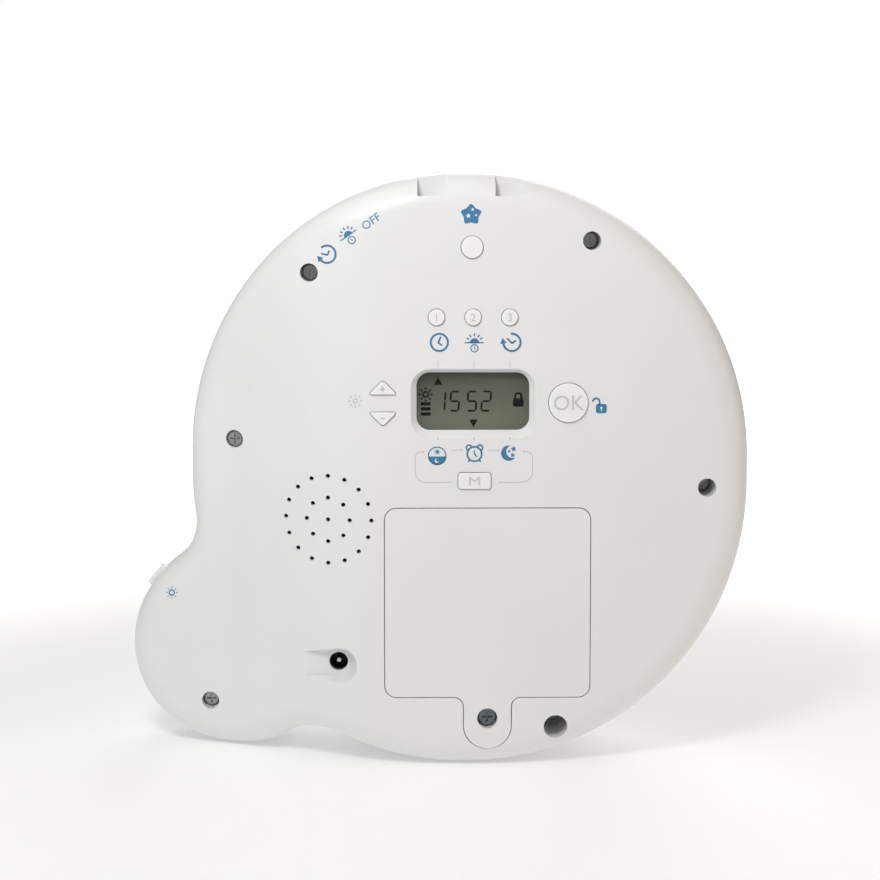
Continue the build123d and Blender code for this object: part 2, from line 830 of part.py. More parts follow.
cell_places = [
    (door_u + (i - (cell_count - 1) / 2) * cell_pitch, 1 if i % 2 == 0 else -1) for i in range(cell_count)
]
for index, (u, way) in enumerate(cell_places):
    nub_z = bay_high_z - contact_thickness if way > 0 else bay_low_z + contact_thickness
    shoulder_z = nub_z - way * cell_nub_length
    with BuildPart() as cell:
        with BuildSketch(cell_plane(nub_z)):
            with Locations((u, 0)):
                Circle(cell_nub_radius)
        extrude(amount=-way * cell_nub_length)
        with BuildSketch(cell_plane(shoulder_z)):
            with Locations((u, 0)):
                Circle(cell_radius)
        extrude(amount=-way * cell_length)
    finish(cell.part, f"battery_cell_{index + 1}")

with BuildPart() as plus_contacts:
    for u, way in cell_places:
        end_z = bay_high_z if way > 0 else bay_low_z
        with BuildSketch(cell_plane(end_z)):
            with Locations((u, 0)):
                Rectangle(contact_size, contact_size)
        extrude(amount=-way * contact_thickness)
finish(plus_contacts.part, "plus_contacts")

with BuildPart() as minus_contacts:
    for u, way in cell_places:
        end_z = bay_low_z if way > 0 else bay_high_z
        spring_side = Plane(
            origin=Vector(-u, back_y, 0) - back_normal * cell_depth + back_up * end_z,
            x_dir=back_normal,
            z_dir=(1, 0, 0),
        )
        half = contact_size / 2
        with BuildSketch(spring_side):
            with BuildLine():
                low = Polyline((-half, 0), (half, 0), (half, way * contact_thickness))
                bow = ThreePointArc(low @ 1, (0, way * spring_bow), (-half, way * contact_thickness))
                Line(bow @ 1, low @ 0)
            make_face()
            with BuildLine():
                rise = way * contact_thickness
                under = Line((-half + 2 * contact_thickness, rise), (half - 2 * contact_thickness, rise))
                ThreePointArc(under @ 1, (0, way * (spring_bow - contact_thickness)), under @ 0)
            make_face(mode=Mode.SUBTRACT)
        extrude(amount=contact_size / 2, both=True)
finish(minus_contacts.part, "minus_contacts")

# -------------------------------------------------------------------- main board
with BuildPart() as main_board:
    with BuildSketch(back_plane(board_depth)):
        with BuildLine():
            Polyline(
                (board_foot_left, board_bottom),
                (board_right, board_bottom),
                (board_right, board_top),
                (panel_u + board_neck_half, board_top),
                (panel_u + board_neck_half, board_neck_top),
                (panel_u - board_neck_half, board_neck_top),
                (panel_u - board_neck_half, board_top),
                (board_left, board_top),
                (board_left, board_shoulder),
                (board_foot_left, board_shoulder),
                close=True,
            )
        make_face()
        with Locations(*board_screw_places):
            Circle(board_screw_shank / 2 + slip_gap, mode=Mode.SUBTRACT)
    extrude(amount=-board_thickness)
finish(main_board.part, "main_board")

with BuildPart() as board_screws:
    with BuildSketch(back_plane(board_depth + board_thickness)):
        with Locations(*board_screw_places):
            Circle(board_screw_head / 2)
    extrude(amount=-board_screw_head_height)
    with BuildSketch(back_plane(board_depth + board_thickness)):
        with Locations(*board_screw_places):
            Circle(board_screw_shank / 2)
    extrude(amount=board_screw_length - seat_gap)
finish(board_screws.part, "board_screws")

with BuildPart() as tact_switches:
    centres = [(shape[1], shape[2]) for shape in key_shapes.values()]
    with BuildSketch(back_plane(board_depth)):
        with Locations(*centres):
            RectangleRounded(tact_body, tact_body, tact_corner)
    extrude(amount=tact_body_height)
    with BuildSketch(back_plane(board_depth)):
        with Locations(*centres):
            Circle(tact_plunger_radius)
    extrude(amount=tact_height)
finish(tact_switches.part, "tact_switches")

with BuildPart() as controller_chip:
    with BuildSketch(back_plane(board_depth + board_thickness)):
        with Locations((panel_u, chip_z)):
            RectangleRounded(chip_size, chip_size, chip_corner)
    extrude(amount=-chip_height)
finish(controller_chip.part, "controller_chip")

# ----------------------------------------------------------------------- display
finish(
    rounded_box(
        back_plane(wall),
        lcd_view_width + 2 * lcd_window_lap,
        lcd_view_height + 2 * lcd_window_lap,
        lcd_view_corner,
        -lcd_window_thickness,
        (panel_u, lcd_z),
    ),
    "lcd_window",
)

with BuildPart() as lcd_glass:
    with BuildSketch(back_plane(lcd_glass_depth)):
        with Locations((panel_u, lcd_z)):
            Rectangle(lcd_glass_width, lcd_glass_height)
    extrude(amount=-lcd_glass_thickness)
finish(lcd_glass.part, "lcd_glass")

with BuildPart() as lcd_frame:
    frame_width = lcd_glass_width + 2 * seat_gap
    frame_height = lcd_glass_height + 2 * seat_gap
    with BuildSketch(back_plane(wall + lcd_window_thickness)):
        with Locations((panel_u, lcd_z)):
            Rectangle(frame_width + 2 * lcd_frame_wall, frame_height + 2 * lcd_frame_wall)
            Rectangle(frame_width, frame_height, mode=Mode.SUBTRACT)
    extrude(amount=wall + lcd_window_thickness - board_depth)
finish(lcd_frame.part, "lcd_frame")

with BuildPart() as zebra_strips:
    zebra_offset = (lcd_glass_height - zebra_width) / 2
    with BuildSketch(back_plane(board_depth)):
        with Locations((panel_u, lcd_z - zebra_offset), (panel_u, lcd_z + zebra_offset)):
            Rectangle(lcd_glass_width - 2 * zebra_margin, zebra_width)
    extrude(amount=board_depth - lcd_glass_depth - lcd_glass_thickness)
finish(zebra_strips.part, "zebra_strips")

# -------------------------------------------------------------------------- keys
for name, shape in key_shapes.items():
    flange_top = wall + seat_gap
    if shape[0] == "arrow":
        flange_top += arrow_key_sag
    with BuildPart() as key:
        with BuildSketch(back_plane(flange_top)):
            key_outline(*shape)
        extrude(amount=flange_top + key_proud)
        fillet(key.faces().sort_by(Axis.Y)[-1].edges(), key_edge)
        with BuildSketch(back_plane(flange_top)):
            key_outline(*shape, grow=key_flange)
        extrude(amount=-key_flange_height)
        with BuildSketch(back_plane(flange_top)):
            with Locations((shape[1], shape[2])):
                Circle(key_stem_radius)
        extrude(amount=flange_top - key_stem_depth)
    finish(key.part, name)

# ------------------------------------------------------------------- power inlet
jack_front_depth = jack_recess_depth + jack_floor
with BuildPart() as dc_jack:
    with BuildSketch(back_plane(jack_front_depth)):
        with Locations((jack_u, jack_z)):
            Rectangle(jack_body_width, jack_body_height)
    extrude(amount=-jack_body_length)
    with BuildSketch(back_plane(jack_front_depth)):
        with Locations((jack_u, jack_z)):
            Circle(jack_body_bore / 2)
    extrude(amount=-jack_bore_depth, mode=Mode.SUBTRACT)
finish(dc_jack.part, "dc_jack")

with BuildPart() as dc_jack_pin:
    with BuildSketch(back_plane(jack_front_depth + jack_bore_depth)):
        with Locations((jack_u, jack_z)):
            Circle(jack_pin_radius)
    extrude(amount=jack_pin_length)
    fillet(dc_jack_pin.faces().sort_by(Axis.Y)[-1].edges(), jack_pin_radius / 2)
finish(dc_jack_pin.part, "dc_jack_pin")

# ----------------------------------------------------------------------- speaker
speaker_axis = Plane(origin=(-speaker_u, speaker_seat_y, speaker_z), x_dir=(1, 0, 0), z_dir=(0, 0, 1))
rim_y = -speaker_rim_height
basket_y = rim_y - speaker_basket_height
with BuildPart() as speaker_frame:
    with BuildSketch(speaker_axis):
        with BuildLine():
            Polyline(
                (speaker_radius, 0),
                (speaker_radius, rim_y),
                (speaker_radius - speaker_ring_wall, rim_y),
                (speaker_basket_radius, basket_y),
                (0, basket_y),
                (0, basket_y + speaker_wall),
                (speaker_basket_radius - speaker_wall, basket_y + speaker_wall),
                (speaker_radius - speaker_ring_wall - speaker_wall, rim_y),
                (speaker_radius - speaker_ring_wall, 0),
                close=True,
            )
        make_face()
    revolve(axis=Axis((-speaker_u, 0, speaker_z), (0, 1, 0)))
finish(speaker_frame.part, "speaker_frame")

with BuildPart() as speaker_cone:
    with BuildSketch(speaker_axis):
        with BuildLine():
            edge = speaker_radius - speaker_ring_wall - speaker_wall - seat_gap
            coil = speaker_cap_radius
            bottom = basket_y + speaker_wall + seat_gap
            cap_top = bottom + 2 * speaker_wall
            cap_ball = (coil**2 + speaker_wall**2) / (2 * speaker_wall)
            Line((edge, rim_y + seat_gap), (coil, bottom))
            Line((coil, bottom), (0, bottom))
            Line((0, bottom), (0, cap_top))
            ThreePointArc(
                (0, cap_top),
                (coil / 2, cap_top - cap_ball + sqrt(cap_ball**2 - coil**2 / 4)),
                (coil, bottom + speaker_wall),
            )
            Line((coil, bottom + speaker_wall), (edge, rim_y + seat_gap + speaker_wall))
            Line((edge, rim_y + seat_gap + speaker_wall), (edge, rim_y + seat_gap))
        make_face()
    revolve(axis=Axis((-speaker_u, 0, speaker_z), (0, 1, 0)))
finish(speaker_cone.part, "speaker_cone")

with BuildPart() as speaker_magnet:
    with BuildSketch(upright_plane(speaker_seat_y + basket_y)):
        with Locations((speaker_u, speaker_z)):
            Circle(speaker_magnet_radius)
    extrude(amount=-speaker_magnet_height)
finish(speaker_magnet.part, "speaker_magnet")

with BuildPart() as speaker_clamp:
    with BuildSketch(upright_plane(speaker_seat_y + rim_y)):
        with Locations((speaker_u, speaker_z)):
            Circle(speaker_radius + seat_gap + speaker_ring_wall)
            Circle(speaker_radius - speaker_ring_wall + seat_gap, mode=Mode.SUBTRACT)
    extrude(amount=-speaker_clamp_height)
finish(speaker_clamp.part, "speaker_clamp")

# ---------------------------------------------------------------------- selector
knob_depth = wall + selector_sag + slip_gap
with BuildPart() as selector_knob:
    with BuildSketch(selector_offset(knob_depth)):
        Rectangle(
            selector_finger_length + 2 * selector_base_margin,
            selector_finger_width + 2 * selector_base_margin,
        )
    extrude(amount=-selector_base_height)
    with BuildSketch(selector_offset(knob_depth)):
        Rectangle(selector_finger_length, selector_finger_width)
    extrude(amount=knob_depth - slip_gap)
    finger_top = selector_knob.faces().sort_by(lambda f: selector_rim.to_local_coords(f.center()).Z)[-1]
    fillet(finger_top.edges(), key_edge)
finish(selector_knob.part, "selector_knob")

switch_top = knob_depth + selector_base_height + slip_gap
board_top_depth = wall + selector_post_height
with BuildPart() as selector_lever_part:
    with BuildSketch(selector_offset(knob_depth + selector_base_height)):
        Rectangle(selector_lever, selector_lever)
    extrude(amount=-selector_lever_length + slip_gap)
finish(selector_lever_part.part, "selector_lever")

with BuildPart() as selector_switch:
    with BuildSketch(selector_offset(switch_top)):
        Rectangle(selector_slot, selector_switch_width)
    extrude(amount=switch_top - board_top_depth)
    with BuildSketch(selector_offset(switch_top)):
        Rectangle(selector_lever + 2 * selector_travel + 2 * slip_gap, selector_lever + 2 * slip_gap)
    extrude(amount=-selector_lever_length, mode=Mode.SUBTRACT)
finish(selector_switch.part, "selector_switch")

with BuildPart() as selector_board:
    with BuildSketch(selector_offset(board_top_depth)):
        Rectangle(
            2 * (selector_reach + selector_post_width), selector_switch_width + 2 * small_board_margin
        )
    extrude(amount=-board_thickness)
finish(selector_board.part, "selector_board")

# --------------------------------------------------------------------- light key
light_flange_top = wall + light_key_sag + slip_gap
light_board_depth = light_flange_top + light_key_flange_height + key_travel + tact_height + seat_gap
with BuildPart() as light_key:
    with BuildSketch(light_rim.offset(-light_flange_top)):
        RectangleRounded(light_key_length, light_key_width, light_key_corner)
    extrude(amount=light_flange_top + light_key_proud)
    key_top = light_key.faces().sort_by(lambda f: light_rim.to_local_coords(f.center()).Z)[-1]
    fillet(key_top.edges(), 2 * key_edge)
    with BuildSketch(light_rim.offset(-light_flange_top)):
        RectangleRounded(
            light_key_length + 2 * key_flange, light_key_width + 2 * key_flange, light_key_corner
        )
    extrude(amount=-light_key_flange_height)
finish(light_key.part, "light_key")

with BuildPart() as light_switch:
    with BuildSketch(light_rim.offset(-light_board_depth)):
        RectangleRounded(tact_body, tact_body, tact_corner)
    extrude(amount=tact_body_height)
    with BuildSketch(light_rim.offset(-light_board_depth)):
        Circle(tact_plunger_radius)
    extrude(amount=tact_height)
finish(light_switch.part, "light_switch")

light_board_low = front_inner_y - light_key_y
with BuildPart() as light_switch_board:
    with BuildSketch(light_rim.offset(-light_board_depth)):
        with Locations((0, light_rim.y_dir.Y * (light_board_low + tact_body) / 2)):
            Rectangle(light_key_length + 2 * small_board_margin, tact_body - light_board_low)
    extrude(amount=-board_thickness)
finish(light_switch_board.part, "light_switch_board")

# --------------------------------------------------- front plate and its windows
with BuildPart() as front_plate:
    with BuildSketch(front_plane(seat_y)):
        with Locations((0, disc_mid_z)):
            Circle(plate_radius)
    extrude(amount=plate_thickness)
    fillet(front_plate.faces().sort_by(Axis.Y)[0].edges(), plate_edge)
    with BuildSketch(front_plane(seat_y)):
        window_shapes(seat_gap)
    extrude(amount=plate_thickness, mode=Mode.SUBTRACT)
finish(front_plate.part, "front_plate")

plate_face_y = seat_y - plate_thickness


def dome_lens(x, z, radius, face_y, rise, flange_y):
    """A round lens with a shallow dome, a straight neck and a flange behind it."""
    ball = (radius * radius + rise * rise) / (2 * rise)
    side = Plane(origin=(x, 0, z), x_dir=(1, 0, 0), z_dir=(0, 0, 1))
    with BuildPart() as lens:
        with BuildSketch(side):
            with BuildLine():
                inner_ball = ball - lens_thickness
                inner_radius = radius - lens_thickness
                crown_y = face_y - rise + ball
                outer = ThreePointArc(
                    (0, crown_y - ball),
                    (radius / 2, crown_y - sqrt(ball**2 - radius**2 / 4)),
                    (radius, face_y),
                )
                inner = ThreePointArc(
                    (0, crown_y - inner_ball),
                    (inner_radius / 2, crown_y - sqrt(inner_ball**2 - inner_radius**2 / 4)),
                    (inner_radius, crown_y - sqrt(inner_ball**2 - inner_radius**2)),
                )
                Polyline(
                    outer @ 1,
                    (radius, flange_y - lens_flange_height),
                    (radius + lens_flange, flange_y - lens_flange_height),
                    (radius + lens_flange, flange_y),
                    (inner_radius, flange_y),
                    inner @ 1,
                )
                Line(inner @ 0, outer @ 0)
            make_face()
        revolve(axis=Axis((x, 0, z), (0, 1, 0)))
    return lens.part


sun_lens = dome_lens(sun_x, sun_z, sun_radius, plate_face_y, lens_rise, seat_y + lens_flange_height)
finish(sun_lens, "sun_lens")

for name, places, shape in (
    ("moon_lens", [(moon_x, moon_z)], moon_outline),
    ("star_lenses", star_places, lambda grow=0.0: star_outline(star_radius + grow)),
):
    with BuildPart() as lens:
        with BuildSketch(front_plane(seat_y)):
            with Locations(*places):
                add(shape())
        extrude(amount=plate_thickness + lens_rise / 3)
        fillet(lens.faces().group_by(Axis.Y)[0].edges(), key_edge)
        with BuildSketch(front_plane(seat_y)):
            with Locations(*places):
                add(shape(lens_flange))
        extrude(amount=-lens_flange_height)
    finish(lens.part, name)

dome_flange_y = front_inner_y + lens_flange_height
finish(dome_lens(dome_x, dome_z, dome_radius, front_y, dome_rise, dome_flange_y), "night_light_dome")


# --------------------------------------------- reflectors, light boards and lamps
def light_unit(prefix, x, z, mouth_radius, mouth_y, neck_radius, count):
    """A white reflector cup, the little board that closes it, and its lamps."""
    side = Plane(origin=(x, 0, z), x_dir=(1, 0, 0), z_dir=(0, 0, 1))
    with BuildPart() as reflector:
        with BuildSketch(side):
            with BuildLine():
                Polyline(
                    (mouth_radius, mouth_y),
                    (mouth_radius + reflector_wall, mouth_y),
                    (neck_radius + reflector_wall, reflector_back_y),
                    (neck_radius, reflector_back_y),
                    close=True,
                )
            make_face()
        revolve(axis=Axis((x, 0, z), (0, 1, 0)))
    finish(reflector.part, f"{prefix}_reflector")
    board_plane = front_plane(reflector_back_y)
    with BuildPart() as board:
        with BuildSketch(board_plane):
            with Locations((x, z)):
                Circle(neck_radius + led_board_margin)
        extrude(amount=-board_thickness)
    finish(board.part, f"{prefix}_light_board")
    with BuildPart() as leds:
        with BuildSketch(board_plane):
            with Locations((x, z)):
                if count > 1:
                    with PolarLocations(led_circle, count, start_angle=90):
                        Rectangle(led_size, led_size)
                else:
                    Rectangle(led_size, led_size)
        extrude(amount=led_height)
    finish(leds.part, f"{prefix}_leds")


sun_mouth = sun_radius + lens_flange + reflector_margin
moon_mouth = moon_radius + lens_flange + reflector_margin
light_unit("sun", sun_x, sun_z, sun_mouth, front_inner_y, reflector_neck_radius, led_count)
light_unit("moon", moon_x, moon_z, moon_mouth, front_inner_y, reflector_neck_radius, led_count)
light_unit("dome", dome_x, dome_z, dome_radius - lens_thickness, dome_flange_y, dome_neck_radius, 1)
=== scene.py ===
import json
import math
import bmesh
import bpy
from mathutils import Matrix, Vector


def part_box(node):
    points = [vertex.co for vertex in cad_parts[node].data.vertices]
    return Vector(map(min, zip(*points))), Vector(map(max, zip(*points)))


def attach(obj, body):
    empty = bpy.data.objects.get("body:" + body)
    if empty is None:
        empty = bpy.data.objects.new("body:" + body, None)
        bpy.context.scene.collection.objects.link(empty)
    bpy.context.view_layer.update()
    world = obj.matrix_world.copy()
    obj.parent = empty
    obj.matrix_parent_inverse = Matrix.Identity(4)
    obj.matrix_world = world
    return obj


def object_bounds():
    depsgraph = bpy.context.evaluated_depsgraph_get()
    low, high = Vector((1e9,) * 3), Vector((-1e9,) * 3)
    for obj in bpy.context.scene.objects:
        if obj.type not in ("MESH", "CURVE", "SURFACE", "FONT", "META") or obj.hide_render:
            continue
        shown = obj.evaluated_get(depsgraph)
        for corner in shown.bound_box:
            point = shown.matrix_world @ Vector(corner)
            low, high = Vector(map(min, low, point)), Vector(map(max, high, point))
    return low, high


# A child's alarm clock with a night light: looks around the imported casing.
# Drawings are measured in millimetres. On the settings side u runs right and v runs up
# the leaning back, as seen from behind. On the child's side they are x and z.

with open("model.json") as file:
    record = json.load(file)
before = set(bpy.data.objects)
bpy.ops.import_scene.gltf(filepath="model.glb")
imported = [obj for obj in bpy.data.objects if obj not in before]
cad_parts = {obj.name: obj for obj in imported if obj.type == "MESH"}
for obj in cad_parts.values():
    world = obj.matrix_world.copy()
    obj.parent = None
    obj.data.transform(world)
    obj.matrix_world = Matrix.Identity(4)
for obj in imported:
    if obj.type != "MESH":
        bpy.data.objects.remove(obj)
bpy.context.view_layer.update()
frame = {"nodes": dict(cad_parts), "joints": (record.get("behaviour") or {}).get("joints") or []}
nodes = frame["nodes"]
MM = 0.001


# ---------------------------------------------------------------------- camera
CAMERA_LENS = 71.9
CAMERA_SENSOR = 36
CAMERA_PLACE = (0.01566, 0.61970, 0.18672)
CAMERA_WAY = Vector((-0.01126, -0.99248, -0.12187))

camera_data = bpy.data.cameras.new("camera")
camera_data.lens = CAMERA_LENS
camera_data.sensor_width = CAMERA_SENSOR
camera = bpy.data.objects.new("camera", camera_data)
bpy.context.scene.collection.objects.link(camera)
camera.location = CAMERA_PLACE
camera.rotation_euler = CAMERA_WAY.to_track_quat("-Z", "Y").to_euler()
bpy.context.scene.camera = camera
bpy.context.scene.view_settings.view_transform = "Standard"


# ------------------------------------------------------------ where things lie
press = next(joint for joint in frame["joints"] if joint["name"] == "ok_key_press")
back_normal = -Vector(press["axis"]).normalized()
back_up = Vector((0, -back_normal.z, back_normal.y))
front_plate_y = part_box("front_plate")[0].y


def reach_out(name):
    """How far out a node lies along the back's own normal."""
    return max(back_normal.dot(vertex.co) for vertex in nodes[name].data.vertices)


BACK_REACH = reach_out("back_shell")


def back_sheet(lift=0.0):
    """Places (u, v) on the leaning back, lifted off it by a number of millimetres."""
    start = Vector((0, BACK_REACH / back_normal.y, 0)) + back_normal * lift * MM
    return Matrix((
        (-1, 0, back_normal.x, start.x),
        (0, back_up.y, back_normal.y, start.y),
        (0, back_up.z, back_normal.z, start.z),
        (0, 0, 0, 1),
    ))


def front_sheet(lift=0.0):
    """Places (x, z) on the coloured plate on the child's side."""
    return Matrix((
        (1, 0, 0, 0),
        (0, 0, -1, front_plate_y - lift * MM),
        (0, 1, 0, 0),
        (0, 0, 0, 1),
    ))


# ------------------------------------------------------------------- materials
# Sockets of a Mix node that mixes colours.
MIX_SHARE, MIX_LOW, MIX_HIGH, MIX_COLOUR = 0, 6, 7, 2


def wire(tree, start, start_socket, end, end_socket):
    tree.links.new(start.outputs[start_socket], end.inputs[end_socket])


def make_moulded_grain():
    """Fine spark grain of an injection mould, with slow sink marks and soft tone changes."""
    grain_detail, flow_detail = 2.0, 3.0
    flow_low, flow_high = 0.3, 0.7
    sink_share = 6.0
    tree = bpy.data.node_groups.new("moulded_grain", "ShaderNodeTree")
    for name, kind in (
        ("Grain per metre", "Float"), ("Flow per metre", "Float"), ("Deep", "Color"), ("Pale", "Color"),
        ("Sheen low", "Float"), ("Sheen high", "Float"),
    ):
        tree.interface.new_socket(name=name, in_out="INPUT", socket_type="NodeSocket" + kind)
    for name, kind in (("Color", "Color"), ("Roughness", "Float"), ("Height", "Float")):
        tree.interface.new_socket(name=name, in_out="OUTPUT", socket_type="NodeSocket" + kind)
    come = tree.nodes.new("NodeGroupInput")
    go = tree.nodes.new("NodeGroupOutput")
    place = tree.nodes.new("ShaderNodeTexCoord")
    grain = tree.nodes.new("ShaderNodeTexNoise")
    grain.inputs["Detail"].default_value = grain_detail
    flow = tree.nodes.new("ShaderNodeTexNoise")
    flow.inputs["Detail"].default_value = flow_detail
    wire(tree, place, "Object", grain, "Vector")
    wire(tree, place, "Object", flow, "Vector")
    wire(tree, come, "Grain per metre", grain, "Scale")
    wire(tree, come, "Flow per metre", flow, "Scale")
    tone = tree.nodes.new("ShaderNodeMix")
    tone.data_type = "RGBA"
    wire(tree, flow, "Fac", tone, MIX_SHARE)
    wire(tree, come, "Deep", tone, MIX_LOW)
    wire(tree, come, "Pale", tone, MIX_HIGH)
    wire(tree, tone, MIX_COLOUR, go, "Color")
    gloss = tree.nodes.new("ShaderNodeMapRange")
    wire(tree, flow, "Fac", gloss, "Value")
    gloss.inputs["From Min"].default_value = flow_low
    gloss.inputs["From Max"].default_value = flow_high
    wire(tree, come, "Sheen low", gloss, "To Min")
    wire(tree, come, "Sheen high", gloss, "To Max")
    wire(tree, gloss, "Result", go, "Roughness")
    height = tree.nodes.new("ShaderNodeMath")
    height.operation = "MULTIPLY_ADD"
    height.inputs[1].default_value = sink_share
    wire(tree, flow, "Fac", height, 0)
    wire(tree, grain, "Fac", height, 2)
    wire(tree, height, "Value", go, "Height")
    return tree


MOULDED_GRAIN = make_moulded_grain()
MOULD_GLOSS = (0.3, 0.42)
MOULD_BUMP = 0.000006
FINE_BUMP = 0.000002


def paint(
    name, deep, pale, gloss=MOULD_GLOSS, grain=1800.0, flow=24.0, bump=MOULD_BUMP, metal=0.0, **fixed
):
    """A finish of moulded, printed or plated stuff. fixed are plain values of the shader's sockets."""
    material = bpy.data.materials.new(name)
    material.use_nodes = True
    tree = material.node_tree
    shader = tree.nodes["Principled BSDF"]
    look = tree.nodes.new("ShaderNodeGroup")
    look.node_tree = MOULDED_GRAIN
    look.inputs["Grain per metre"].default_value = grain
    look.inputs["Flow per metre"].default_value = flow
    look.inputs["Deep"].default_value = (*deep, 1)
    look.inputs["Pale"].default_value = (*pale, 1)
    look.inputs["Sheen low"].default_value = gloss[0]
    look.inputs["Sheen high"].default_value = gloss[1]
    wire(tree, look, "Color", shader, "Base Color")
    wire(tree, look, "Roughness", shader, "Roughness")
    relief = tree.nodes.new("ShaderNodeBump")
    relief.inputs["Strength"].default_value = 1.0
    relief.inputs["Distance"].default_value = bump
    wire(tree, look, "Height", relief, "Height")
    wire(tree, relief, "Normal", shader, "Normal")
    shader.inputs["Metallic"].default_value = metal
    for socket, value in fixed.items():
        shader.inputs[socket.replace("_", " ")].default_value = value
    return material


def paint_shade_slope(material, slope, start):
    """Paint shade on a piece: its colour darkens evenly across it. slope is the change per metre along X, Y
    and Z.
    """
    tree = material.node_tree
    shader = tree.nodes["Principled BSDF"]
    look = shader.inputs["Base Color"].links[0].from_node
    place = tree.nodes.new("ShaderNodeTexCoord")
    along = tree.nodes.new("ShaderNodeVectorMath")
    along.operation = "DOT_PRODUCT"
    along.inputs[1].default_value = slope
    wire(tree, place, "Object", along, 0)
    share = tree.nodes.new("ShaderNodeMath")
    share.inputs[1].default_value = start
    wire(tree, along, "Value", share, 0)
    shaded = tree.nodes.new("ShaderNodeVectorMath")
    shaded.operation = "SCALE"
    wire(tree, look, "Color", shaded, 0)
    wire(tree, share, "Value", shaded, "Scale")
    wire(tree, shaded, "Vector", shader, "Base Color")


# What finishes of one kind share.
PRINT = dict(gloss=(0.4, 0.5), flow=900, bump=FINE_BUMP)
SCREW = dict(gloss=(0.3, 0.48), grain=4000, flow=900, bump=0.00002, metal=0.85)
LIT_LENS = dict(gloss=(0.12, 0.2), bump=0.000003, Subsurface_Weight=0.25, Subsurface_Scale=0.004)

case_white = paint("case_white", (0.775, 0.78, 0.78), (0.83, 0.83, 0.825))
key_white = paint("key_white", (0.85, 0.85, 0.845), (0.89, 0.89, 0.885), gloss=(0.2, 0.28), bump=FINE_BUMP)
ink_blue = paint("ink_blue", (0.030, 0.16, 0.33), (0.055, 0.24, 0.43), **PRINT)
# Painted shade: raised marks moulded in the same white plastic get this darker grey in place of the shading
# along their edges.
mark_shade_grey = paint(
    "mark_shade_grey", (0.54, 0.54, 0.53), (0.62, 0.62, 0.61), gloss=(0.3, 0.4), flow=300, bump=FINE_BUMP
)
ink_grey = paint("ink_grey", (0.44, 0.455, 0.48), (0.56, 0.57, 0.59), **PRINT)
ink_white = paint("ink_white", (0.80, 0.82, 0.86), (0.86, 0.88, 0.92), **PRINT)
lcd_grey = paint(
    "lcd_grey", (0.105, 0.112, 0.078), (0.20, 0.21, 0.16), gloss=(0.4, 0.5), flow=30, bump=0.0,
    Specular_IOR_Level=0.1,
)
lcd_ink = paint(
    "lcd_ink", (0.004, 0.005, 0.004), (0.008, 0.009, 0.007), gloss=(0.5, 0.6), flow=300, bump=0.0,
    Specular_IOR_Level=0.0,
)
screw_dark = paint("screw_dark", (0.08, 0.09, 0.095), (0.24, 0.26, 0.27), **SCREW)
screw_steel = paint("screw_steel", (0.28, 0.285, 0.265), (0.50, 0.50, 0.47), **SCREW)
contact_nickel = paint(
    "contact_nickel", (0.50, 0.49, 0.46), (0.64, 0.63, 0.60), gloss=(0.2, 0.34), flow=300, metal=1.0
)
speaker_steel = paint(
    "speaker_steel", (0.32, 0.32, 0.32), (0.44, 0.44, 0.43), gloss=(0.3, 0.44), flow=200, metal=1.0
)
speaker_paper = paint(
    "speaker_paper", (0.012, 0.012, 0.012), (0.03, 0.03, 0.028), gloss=(0.8, 0.9), grain=2600, flow=400,
    bump=0.00005,
)
black_plastic = paint("black_plastic", (0.012, 0.012, 0.013), (0.025, 0.025, 0.026))
board_green = paint("board_green", (0.010, 0.085, 0.035), (0.02, 0.15, 0.06), gloss=(0.22, 0.34), flow=500)
rubber_pink = paint("rubber_pink", (0.30, 0.16, 0.15), (0.38, 0.22, 0.20), gloss=(0.5, 0.6))
reflector_white = paint("reflector_white", (0.80, 0.80, 0.79), (0.85, 0.85, 0.84), gloss=(0.3, 0.4))
led_cream = paint("led_cream", (0.75, 0.66, 0.30), (0.82, 0.74, 0.42), gloss=(0.12, 0.2))
plate_blue = paint("plate_blue", (0.045, 0.19, 0.40), (0.06, 0.24, 0.48), gloss=(0.3, 0.4), flow=14)
ray_yellow = paint("ray_yellow", (0.80, 0.40, 0.03), (0.86, 0.48, 0.06), gloss=(0.28, 0.38))
cloud_white = paint("cloud_white", (0.78, 0.80, 0.82), (0.84, 0.86, 0.88), gloss=(0.28, 0.38))
cell_jacket = paint(
    "cell_jacket", (0.03, 0.05, 0.09), (0.05, 0.08, 0.14), gloss=(0.18, 0.26), flow=60, bump=FINE_BUMP
)
sun_amber = paint("sun_amber", (0.85, 0.40, 0.03), (0.90, 0.50, 0.07), **LIT_LENS)
moon_ice = paint("moon_ice", (0.42, 0.60, 0.80), (0.50, 0.68, 0.86), **LIT_LENS)
star_cream = paint("star_cream", (0.84, 0.72, 0.36), (0.88, 0.78, 0.46), **LIT_LENS)
dome_frost = paint(
    "dome_frost", (0.78, 0.80, 0.80), (0.84, 0.86, 0.86), gloss=(0.3, 0.38), bump=0.000004,
    Subsurface_Weight=0.3, Subsurface_Scale=0.005,
)
window_clear = paint(
    "window_clear", (0.97, 0.98, 0.98), (0.99, 0.99, 0.99), gloss=(0.0, 0.01), bump=0.0,
    Transmission_Weight=1.0, IOR=1.22,
)

# Painted shade and reflection on the display: darker towards its top, as under the bezel's shadow, and
# darker towards its +X end but lighter towards the other end, like a reflection. The first number below is
# its tone at its middle height.
LCD_SHADE_TONE = 0.87
LCD_MIDDLE_Z = 0.1262
LCD_SHADE_FALL_X = 3.0
LCD_SHADE_FALL_Z = 28
# Paint the display's shade and reflection into its colour.
paint_shade_slope(lcd_grey, (-LCD_SHADE_FALL_X, 0, -LCD_SHADE_FALL_Z), LCD_SHADE_TONE + LCD_SHADE_FALL_Z * LCD_MIDDLE_Z)

